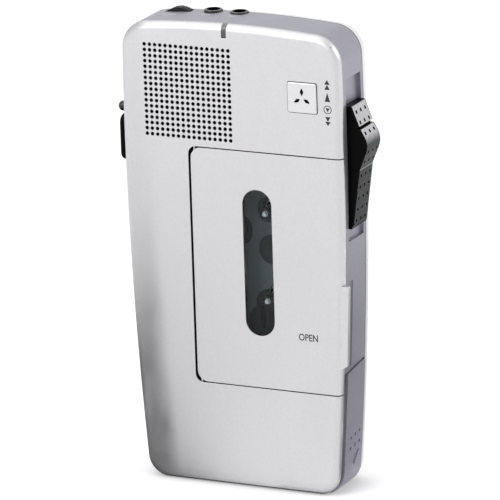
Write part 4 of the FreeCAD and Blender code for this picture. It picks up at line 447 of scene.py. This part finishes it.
def makePadLacquer():
    # Silver above the nose and graphite below it are the pads' own tones; the fade between them along
    # the height, across the nose, is painted sheen falling away from the lamps, broken by flecks.
    material, tree, shader = newMaterial("padLacquer")
    z = axes(tree)[2]
    rounded = roundedNormal(tree, pads["edge"])
    flecks = useGroup(tree, fleckGroup, Size=0.2, Depth=0.006, Normal=rounded)
    height = calc(tree, "MULTIPLY_ADD", flecks["Mask"], pads["grain"], z)
    # Partly painted sheen: the fade across the nose stands for the lamps' reflection turning away.
    silverAndSheen = ramp(tree, height, pads["graphiteTop"], pads["silverFoot"])
    dark = mixColour(tree, flecks["Mask"], tone(22, 26, 27), tone(42, 47, 48))
    light = mixColour(tree, flecks["Mask"], tone(180, 179, 182), tone(198, 197, 200))
    colour = mixColour(tree, silverAndSheen, dark, light)
    # A painted highlight: a pale line along the crease.
    above = calc(tree, "SUBTRACT", z, pads["crease"])
    crease = ramp(tree, calc(tree, "ABSOLUTE", above), *pads["creaseHalf"])
    colour = mixColour(tree, crease, colour, tone(176, 178, 180))
    rubbed = useGroup(tree, wearGroup, Rounded=rounded, Amount=0.7)["Mask"]
    colour = mixColour(tree, rubbed, colour, tone(214, 214, 216))
    # Painted shade in the dimples, darkening them towards near black.
    paintedShade = useGroup(tree, occlusionShadeGroup, Distance=pads["dimple"] * mm, Open=0.85, Shut=0.6)["Mask"]
    feed(tree, shader["Base Color"], mixColour(tree, paintedShade, colour, tone(5, 5, 6)))
    feed(tree, shader["Roughness"], ramp(tree, silverAndSheen, 0.0, 1.0, 0.4, 0.36))
    feed(tree, shader["Normal"], flecks["Normal"])
    shader["Metallic"].default_value = 0.75
    return material


# The dust cloth behind the grille: length of one turn of its weave, and how far threads stand out.
cloth = {"pitch": 0.32, "rise": 0.03}


def makeSpeakerCloth():
    # A plain weave: two sine waves at right angles take turns on top.
    material, tree, shader = newMaterial("speakerCloth")
    x, y, z = axes(tree)
    turns = math.tau / cloth["pitch"]
    across, along = [calc(tree, "SINE", calc(tree, "MULTIPLY", part, turns)) for part in (x, z)]
    weave = calc(tree, "MULTIPLY", across, along)
    height = calc(tree, "MULTIPLY", weave, cloth["rise"] * mm)
    threads = ramp(tree, weave, -1.0, 1.0)
    feed(tree, shader["Base Color"], mixColour(tree, threads, tone(4, 4, 4), tone(16, 16, 16)))
    feed(tree, shader["Normal"], bumpedNormal(tree, height))
    shader["Roughness"].default_value = 0.95
    shader["Specular IOR Level"].default_value = 0.1
    return material


# A moulded sheet lines the floor of the cassette bay. All its sizes are in millimetres.
liner = {
    "left": -10.2, "right": 21.9, "low": 34.0, "top": 89.9,
    "front": 10.86, "back": 10.99,         # depths behind the front face
    "x": 6.75, "holes": (73.8, 50.1),      # where the two spindles come through
    "hole": 2.6,                           # radius of their holes
    "rib": 0.05,                           # height of the ribs
    "holeRib": (4.4, 0.35),                # radius and half width of the rib round each hole
    "sweepRib": (21.5, 0.3),               # the same, round the middle between the holes
    "columns": 171, "rows": 281,           # points across and up the sheet
    # Painted shade of hollows: x, z, half width, half height and darkness.
    "shadedHollows": (
        (4.6, 73.3, 2.6, 3.6, 0.8), (-2.05, 67.1, 2.4, 3.7, 0.85), (5.6, 62.5, 3.6, 4.0, 0.8),
        (4.6, 47.8, 3.8, 3.8, 0.75), (3.0, 42.4, 4.6, 4.8, 0.65), (2.7, 43.9, 0.9, 3.2, 1.0),
    ),
}


def makeSlateLining():
    # The bay's lining: slate plastic with painted shade where its hollows lie, each a soft-edged ellipse.
    material, tree, shader = newMaterial("slateLining")
    x, y, z = axes(tree)
    true = addNode(tree, "ShaderNodeNewGeometry").outputs["Normal"]
    flecks = useGroup(tree, fleckGroup, Size=0.4, Depth=0.01, Normal=true)
    hollowShade = 0.0
    for middle, height, wide, tall, dark in liner["shadedHollows"]:
        across = calc(tree, "DIVIDE", calc(tree, "SUBTRACT", x, middle), wide)
        along = calc(tree, "DIVIDE", calc(tree, "SUBTRACT", z, height), tall)
        square = calc(tree, "MULTIPLY_ADD", across, across, calc(tree, "MULTIPLY", along, along))
        inside = ramp(tree, calc(tree, "SQRT", square), 1.05, 0.95, 0.0, dark)
        hollowShade = calc(tree, "MAXIMUM", hollowShade, inside)
    slate = mixColour(tree, flecks["Mask"], tone(112, 118, 122), tone(128, 134, 138))
    feed(tree, shader["Base Color"], mixColour(tree, hollowShade, slate, tone(12, 13, 14)))
    feed(tree, shader["Normal"], flecks["Normal"])
    shader["Roughness"].default_value = 0.6
    return material


def makePrintInk(name, ink, thin):
    # Screen-printed ink: slightly uneven cover, thinner in places.
    material, tree, shader = newMaterial(name)
    cover = ramp(tree, cloud(tree, objectPlace(tree), 2600.0, 3.0, 0.6), 0.3, 0.7)
    feed(tree, shader["Base Color"], mixColour(tree, cover, ink, thin))
    feed(tree, shader["Roughness"], ramp(tree, cover, 0.0, 1.0, 0.4, 0.6))
    return material


smokedPane = makeSmokedPane()
lampLens = makeLampLens()
padLacquer = makePadLacquer()
speakerCloth = makeSpeakerCloth()
slateLining = makeSlateLining()
darkInk = makePrintInk("darkInk", tone(24, 24, 27), tone(40, 40, 44))
paleInk = makePrintInk("paleInk", tone(214, 214, 220), tone(196, 196, 204))


def paint(material, *names):
    # Puts one material on carried-over nodes.
    for name in names:
        data = nodes[name].data
        data.materials.clear()
        data.materials.append(material)


paint(frontLacquer, "front_shell", "cassette_door")
paint(tileLacquer, "microphone_tile")
paint(rearLacquer, "rear_shell")
paint(bandLacquer, "side_frame", "switch_side_band", "battery_door")
paint(smokedPane, "door_window")
paint(lampLens, "light_guide", "led")
paint(padLacquer, "switch_upper_pad", "switch_lower_pad")
paint(speakerCloth, "speaker_cloth")
paint(softRubber, "speaker_cone", "microphone_boot", "idler_tyre", "drive_belt")
paint(sinteredMagnet, "speaker_magnet")
paint(blackGloss, "index_button", "ear_socket", "microphone_socket")
paint(blackMoulding, "cassette_well", "supply_hub", "takeup_hub", "switch_slide_plate",
      "battery_tray", "key_switches", "volume_wheel", "board_components", "spindle_bushes")
paint(switchBlack, "switch_carrier", "record_button")
paint(greyMoulding, "selector_switch", "volume_potentiometer")
paint(whiteMoulding, "drive_wheel", "idler_wheel")
paint(boardGreen, "button_board", "circuit_board")
paint(cellJacket, "battery_cells")
paint(turnedBrass, "motor_pulley")
paint(nickelSpring, "door_catch", "battery_bridge", "positive_contact", "negative_contact",
      "play_head", "erase_head")
paint(bareSteel, "case_screws", "speaker_basket", "microphone_capsule", "door_hinge_pins", "deck_plate",
      "supply_reel_table", "takeup_reel_table", "drive_axle", "swing_arm", "motor", "motor_shaft",
      "motor_screws", "head_slide", "head_slide_screws")
print("finishes made,", len(bpy.data.materials), "materials")


def putMesh(name, points, faces, material, body):
    # Points are in millimetres; faces are index arrays of any one length each.
    mesh = bpy.data.meshes.new(name)
    mesh.from_pydata(np.asarray(points, float) * mm, [], [list(map(int, one)) for one in faces])
    mesh.materials.append(material)
    mesh.update()
    piece = bpy.data.objects.new(name, mesh)
    bpy.context.scene.collection.objects.link(piece)
    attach(piece, body)
    return piece


# Printed marks. Each is a thin prism that stands just off the lacquer.
marks = {
    "x": 27.7,                             # middle of the column of marks
    "ink": 0.02,                           # thickness of the ink
    "width": 1.5,
    # Heights where arrows start and end, from foot to tip.
    "rewind": (110.1, 111.45, 112.75),
    "play": (106.9, 109.3),
    "forward": (102.9, 101.6, 100.5),
    "stop": 104.8,                         # middle of the ringed arrow
    "stopRing": (0.92, 1.12),              # its two radii
    "stopArrow": (0.42, -0.62, 1.15),      # foot and tip from the middle, and width
    "ringSides": 48,
}


def prism(outline, back, front):
    # A convex outline of x, z pairs: its front and back are fans, its sides quads between them.
    outline = np.asarray(outline, float)
    count = len(outline)
    points = np.concatenate([np.insert(outline, 1, front, 1), np.insert(outline, 1, back, 1)])
    step = np.arange(count)
    following = (step + 1) % count
    sides = np.stack([step, step + count, following + count, following], 1)
    return points, [step[::-1].tolist(), (step + count).tolist()] + sides.tolist()


def ring(x, z, inner, outer, back, front, count):
    # A flat washer: two circles on the front and two on the back, joined by quads all round.
    angle = np.linspace(0, math.tau, count, endpoint=False)
    circles = [(outer, front), (inner, front), (inner, back), (outer, back)]
    points = np.concatenate([
        np.stack([x + radius * np.cos(angle), np.full(count, y), z + radius * np.sin(angle)], 1)
        for radius, y in circles
    ])
    step = np.arange(count)
    following = (step + 1) % count
    faces = []
    for first in range(len(circles)):
        second = (first + 1) % len(circles)
        faces.append(np.stack([step + first * count, following + first * count,
                               following + second * count, step + second * count], 1))
    return points, np.concatenate(faces).tolist()


def gather(parts):
    # Several point and face lists as one, with the indices moved on.
    points, faces, base = [], [], 0
    for some, theirs in parts:
        points.append(some)
        faces += [[index + base for index in one] for one in theirs]
        base += len(some)
    return np.concatenate(points), faces


def arrow(foot, tip, width):
    # A triangle from its foot's two corners to its tip, in one turning sense whichever way it points.
    half = width / 2 if tip > foot else -width / 2
    return [(marks["x"] - half, foot), (marks["x"] + half, foot), (marks["x"], tip)]


def makeMarks():
    # Rewind and forward are two arrows each, play is one, and stop is an arrow in a ring.
    back, front = face, face - marks["ink"]
    foot, tip, width = marks["stopArrow"]
    outlines = []
    for mark in ("rewind", "play", "forward"):
        heights = marks[mark]
        outlines += [arrow(low, high, marks["width"]) for low, high in zip(heights, heights[1:])]
    outlines.append(arrow(marks["stop"] + foot, marks["stop"] + tip, width))
    parts = [prism(outline, back, front) for outline in outlines]
    parts.append(ring(marks["x"], marks["stop"], *marks["stopRing"], back, front, marks["ringSides"]))
    points, faces = gather(parts)
    putMesh("directionMarks", points, faces, darkInk, "casing")


def wordMesh(text, size, squeeze):
    # A word as a flat mesh with a little thickness, the middle of its foot at the origin. Its
    # strokes are made a little bolder, and its width is squeezed.
    curve = bpy.data.curves.new("wordCurve", "FONT")
    curve.body = text
    curve.size = size
    curve.align_x = "CENTER"
    curve.extrude = marks["ink"] / 2
    curve.offset = 0.012 * size
    curve.resolution_u = 4
    holder = bpy.data.objects.new("wordHolder", curve)
    bpy.context.scene.collection.objects.link(holder)
    bpy.context.view_layer.update()
    made = bpy.data.meshes.new_from_object(holder.evaluated_get(bpy.context.evaluated_depsgraph_get()))
    points = np.zeros(len(made.vertices) * 3)
    made.vertices.foreach_get("co", points)
    faces = [list(one.vertices) for one in made.polygons]
    bpy.data.objects.remove(holder)
    bpy.data.curves.remove(curve)
    bpy.data.meshes.remove(made)
    return points.reshape(-1, 3) * (squeeze, 1, 1), faces


# The word on the door: where its foot's middle lies, and its size.
doorWord = {"text": "OPEN", "size": 2.62, "squeeze": 0.82, "x": 20.45, "foot": 42.05}


def makeOpenWord():
    # The word lies in the door's face: the text's x runs along x, its y up, its thickness forwards.
    flat, faces = wordMesh(doorWord["text"], doorWord["size"], doorWord["squeeze"])
    middle = face - marks["ink"] / 2
    points = np.stack([doorWord["x"] + flat[:, 0], middle - flat[:, 2], doorWord["foot"] + flat[:, 1]], 1)
    putMesh("openWord", points, faces, darkInk, "door")


# The prints on the top edge: two words beside the sockets, and a slim wedge beside the volume wheel.
topMarks = {
    "words": {"EAR": -10.3, "MIC": -2.8},  # middle of each word along x
    "size": 1.5, "squeeze": 0.9,
    "wordDepth": 8.6,                      # the words' foot, behind the front face
    "left": -24.8, "right": -18.8,         # the wedge's two ends
    "thin": 0.05, "thick": 0.55,
    "wedgeDepth": 8.9,
    "steps": 13,
}


def onCrown(x, y, lift):
    # Points laid on the top edge: height follows the crown's circle at each x.
    return np.stack([x, y, crownZ(x) + lift], 1)


def wedge():
    # A bar that grows from thin to thick towards the right: four rows of points along it, upper
    # and lower, front and back, joined by quads, with a quad at each end.
    count = topMarks["steps"]
    along = np.linspace(topMarks["left"], topMarks["right"], count)
    back = np.full(count, depthY(topMarks["wedgeDepth"]))
    front = back - np.linspace(topMarks["thin"], topMarks["thick"], count)
    rows = [onCrown(along, y, lift) for lift in (marks["ink"], 0.0) for y in (front, back)]
    step = np.arange(count - 1)
    faces = []
    for first, second in ((0, 1), (1, 3), (3, 2), (2, 0)):
        faces += np.stack([step + first * count, step + 1 + first * count,
                           step + 1 + second * count, step + second * count], 1).tolist()
    for end, turn in ((0, 1), (count - 1, -1)):
        faces.append([end, end + count, end + 3 * count, end + 2 * count][::turn])
    return np.concatenate(rows), faces


def makeTopPrints():
    # Both words, each wrapped over the crown with its foot towards the front, and the wedge.
    parts = []
    for text, x in topMarks["words"].items():
        flat, faces = wordMesh(text, topMarks["size"], topMarks["squeeze"])
        y = depthY(topMarks["wordDepth"]) + flat[:, 1]
        parts.append((onCrown(x + flat[:, 0], y, flat[:, 2] + marks["ink"] / 2), faces))
    parts.append(wedge())
    points, faces = gather(parts)
    putMesh("topPrints", points, faces, paleInk, "casing")


makeMarks()
makeOpenWord()
makeTopPrints()
print("prints made")


def makeLiner():
    # A height field on a fine grid. The sheet's front is raised where the distance from a centre is
    # within a rib's half width of its radius, and cells whose middle is in a hole are left out.
    across = np.linspace(liner["left"], liner["right"], liner["columns"])
    up = np.linspace(liner["low"], liner["top"], liner["rows"])
    x, z = np.meshgrid(across, up)
    near = np.min([np.hypot(x - liner["x"], z - one) for one in liner["holes"]], 0)
    middle = np.hypot(x - liner["x"], z - sum(liner["holes"]) / 2)
    raised = 0.0
    for distance, (radius, half) in ((near, liner["holeRib"]), (middle, liner["sweepRib"])):
        raised = raised + liner["rib"] * (np.abs(distance - radius) < half)
    y = depthY(liner["front"]) - raised
    front = np.stack([x, y, z], 2).reshape(-1, 3)
    back = np.stack([x, np.full(x.shape, depthY(liner["back"])), z], 2).reshape(-1, 3)
    rows, columns = x.shape
    count = rows * columns
    index = np.arange(count).reshape(rows, columns)
    cell = np.stack([index[:-1, :-1], index[:-1, 1:], index[1:, 1:], index[1:, :-1]], 2)
    kept = (near[:-1, :-1] + near[1:, 1:]) / 2 > liner["hole"]
    faces = cell[kept]
    # Where a cell has no neighbour on one side, a wall joins the front's edge there to the back's.
    walls = []
    padded = np.pad(kept, 1)
    sides = (((-1, 0), (0, 1)), ((0, 1), (1, 2)), ((1, 0), (2, 3)), ((0, -1), (3, 0)))
    for (stepRow, stepColumn), (first, second) in sides:
        beside = padded[1 + stepRow:stepRow + rows, 1 + stepColumn:stepColumn + columns]
        edge = cell[kept & ~beside]
        walls.append(np.stack([edge[:, second], edge[:, first],
                               edge[:, first] + count, edge[:, second] + count], 1))
    everything = np.concatenate([faces, faces[:, ::-1] + count] + walls)
    used = np.unique(everything)
    renamed = np.zeros(count * 2, int)
    renamed[used] = np.arange(len(used))
    points = np.concatenate([front, back])[used]
    putMesh("bayLiner", points, renamed[everything], slateLining, "casing")


makeLiner()
print("bay lined")

# The photograph's view: the three directions of the picture, the camera's place in metres and its
# focal length in millimetres.
view = {
    "right": (0.90583, 0.42255, -0.03044),
    "down": (0.09152, -0.26533, -0.95980),
    "forward": (-0.41364, 0.86663, -0.27901),
    "place": (0.64894, -1.36015, 0.49993),
    "focal": 432.0,
}


def makeCamera():
    # The camera looks along its own -z with y up, so down and forward are turned round.
    data = bpy.data.cameras.new("camera")
    data.lens = view["focal"]
    data.sensor_width = 36.0
    data.clip_start = 0.1
    data.clip_end = 20.0
    camera = bpy.data.objects.new("camera", data)
    right, down, forward, place = [Vector(view[name]) for name in ("right", "down", "forward", "place")]
    columns = [(*right, 0), (*-down, 0), (*-forward, 0), (*place, 1)]
    camera.matrix_world = Matrix(columns).transposed()
    bpy.context.scene.collection.objects.link(camera)
    bpy.context.scene.camera = camera


# Lamps, in metres and watts: place, width, height, power and the point they face.
lamps = {
    "keyPanel": ((-0.45, -0.9, 0.85), 0.8, 0.8, 6.0, (0, 0, 0.06)),
    "topPanel": ((-0.35, 0.05, 0.95), 0.9, 1.1, 2.4, (0, 0, 0.06)),
    "sidePanel": ((0.8, 0.25, 0.55), 0.5, 0.5, 2.8, (0, 0, 0.06)),
    "leftPanel": ((-0.55, -0.5, 0.35), 0.3, 0.3, 0.5, (-0.02, 0, 0.11)),
}


def makePanel(name, place, width, height, power, aim):
    # A soft rectangular lamp that faces the recorder.
    data = bpy.data.lights.new(name, "AREA")
    data.shape = "RECTANGLE"
    data.size = width
    data.size_y = height
    data.energy = power
    lamp = bpy.data.objects.new(name, data)
    lamp.location = place
    lamp.rotation_euler = (Vector(aim) - Vector(place)).to_track_quat("-Z", "Y").to_euler()
    bpy.context.scene.collection.objects.link(lamp)


def sheetGrid(name, corners, z, material):
    # A flat stage sheet as a grid of quads between four corners, which are given in turn. It keeps
    # how far each point lies from the first corner's edge to the second's.
    count = 13
    part = np.linspace(0, 1, count)
    first, second, third, fourth = np.array(corners, float)
    u, v = [one.ravel()[:, None] for one in np.meshgrid(part, part)]
    flat = (first * (1 - u) + second * u) * (1 - v) + (fourth * (1 - u) + third * u) * v
    points = np.column_stack([flat, np.full(len(flat), z)])
    start = (np.arange(count - 1)[:, None] * count + np.arange(count - 1)).ravel()
    faces = np.stack([start, start + 1, start + count + 1, start + count], 1)
    mesh = bpy.data.meshes.new(name)
    mesh.from_pydata(points, [], faces.tolist())
    mesh.materials.append(material)
    mesh.attributes.new("across", "FLOAT", "POINT").data.foreach_set("value", u.ravel())
    sheet = bpy.data.objects.new(name, mesh)
    bpy.context.scene.collection.objects.link(sheet)
    return sheet


def seenDirectly(tree):
    # One for rays from the camera and for those that metal and glass send on, nought for diffuse light.
    path = addNode(tree, "ShaderNodeLightPath").outputs
    passed = calc(tree, "MAXIMUM", path["Is Glossy Ray"], path["Is Transmission Ray"])
    return calc(tree, "MAXIMUM", path["Is Camera Ray"], passed)


# The table under the recorder.
floor = {
    "half": 3.0,                           # half its side, metres
    "papers": ((0.80, 0.80, 0.80, 1), (0.82, 0.82, 0.82, 1)),
    "near": 10.0,                          # how far the contact shadow reaches, millimetres
    "open": 0.9, "shut": 0.35,             # shares of open sky where that shadow starts and is full
    "shadow": (0.6, 0.6, 0.61, 1),
    "dimmed": -0.1,                        # what the full contact shadow takes from the paper's light
    "glow": (250.0, 900.0, 0.4, 0.68),     # two distances in millimetres, and the light at each
}


def makeFloor():
    # Pale paper. Where it is seen it adds a light of its own, which keeps it white, while its
    # diffuse share keeps the shadow; close to the recorder both fade into the contact shadow.
    material, tree, shader = newMaterial("floorPaper")
    x, y, z = axes(tree)
    fibre = cloud(tree, objectPlace(tree), 160.0, 4.0)
    paper = mixColour(tree, fibre, *floor["papers"])
    reach = floor["near"] * mm
    near = useGroup(tree, occlusionShadeGroup, Distance=reach, Open=floor["open"], Shut=floor["shut"])["Mask"]
    apart = calc(tree, "SQRT", calc(tree, "MULTIPLY_ADD", x, x, calc(tree, "MULTIPLY", y, y)))
    glow = calc(tree, "MULTIPLY_ADD", near, floor["dimmed"], ramp(tree, apart, *floor["glow"]))
    white = mixColour(tree, glow, (0, 0, 0, 1), (1, 1, 1, 1))
    feed(tree, shader["Base Color"], mixColour(tree, near, paper, floor["shadow"]))
    feed(tree, shader["Emission Color"], mixColour(tree, seenDirectly(tree), (0, 0, 0, 1), white))
    shader["Roughness"].default_value = 0.9
    shader["Specular IOR Level"].default_value = 0.0
    shader["Emission Strength"].default_value = 1.0
    half = floor["half"]
    sheetGrid("floor", ((-half, -half), (half, -half), (half, half), (-half, half)), 0.0, material)


# Sheets that the lacquer mirrors: four corners in metres, and the two greys of their nap. They end
# in the floor's own paper and glow.
shadeLift = 0.0004
shadeFade = (0.82, 1.0)
shadeEnd = {"paper": (0.81, 0.81, 0.81, 1), "glow": (0.4, 0.4, 0.4, 1)}
shades = {
    "leftShade": (((-0.17, -0.125), (-0.092, -0.125), (0.011, -0.0105), (-0.17, 0.1)), 0.01, 0.03),
    "rightShade": (((0.032, -0.005), (0.1, -0.005), (0.15, 0.2), (0.08, 0.2)), 0.16, 0.22),
}


def makeShade(name, corners, dark, light):
    # A sheet just above the table that darkens what the lacquer mirrors, and fades into the floor's
    # paper towards one side. Only mirrored rays see it.
    material, tree, shader = newMaterial(name)
    nap = cloud(tree, objectPlace(tree), 300.0, 3.0)
    card = mixColour(tree, nap, (dark, dark, dark, 1), (light, light, light, 1))
    across = addNode(tree, "ShaderNodeAttribute", {"attribute_name": "across"}).outputs["Fac"]
    faded = ramp(tree, across, *shadeFade)
    feed(tree, shader["Base Color"], mixColour(tree, faded, card, shadeEnd["paper"]))
    feed(tree, shader["Emission Color"], mixColour(tree, faded, (0, 0, 0, 1), shadeEnd["glow"]))
    shader["Emission Strength"].default_value = 1.0
    shader["Roughness"].default_value = 0.9
    shade = sheetGrid(name, corners, shadeLift, material)
    shade.visible_camera = False
    shade.visible_shadow = False
    shade.visible_diffuse = False


def makeWorld():
    # White where it is seen, and a grey light on everything else.
    world = bpy.data.worlds.new("studio")
    bpy.context.scene.world = world
    world.use_nodes = True
    tree = world.node_tree
    sky = mixColour(tree, seenDirectly(tree), (0.45, 0.45, 0.46, 1), (1, 1, 1, 1))
    feed(tree, tree.nodes["Background"].inputs["Color"], sky)


makeCamera()
makeFloor()
for name, shade in shades.items():
    makeShade(name, *shade)
makeWorld()
for name, lamp in lamps.items():
    makePanel(name, *lamp)
bpy.context.scene.view_settings.view_transform = "Standard"
print("stage set")
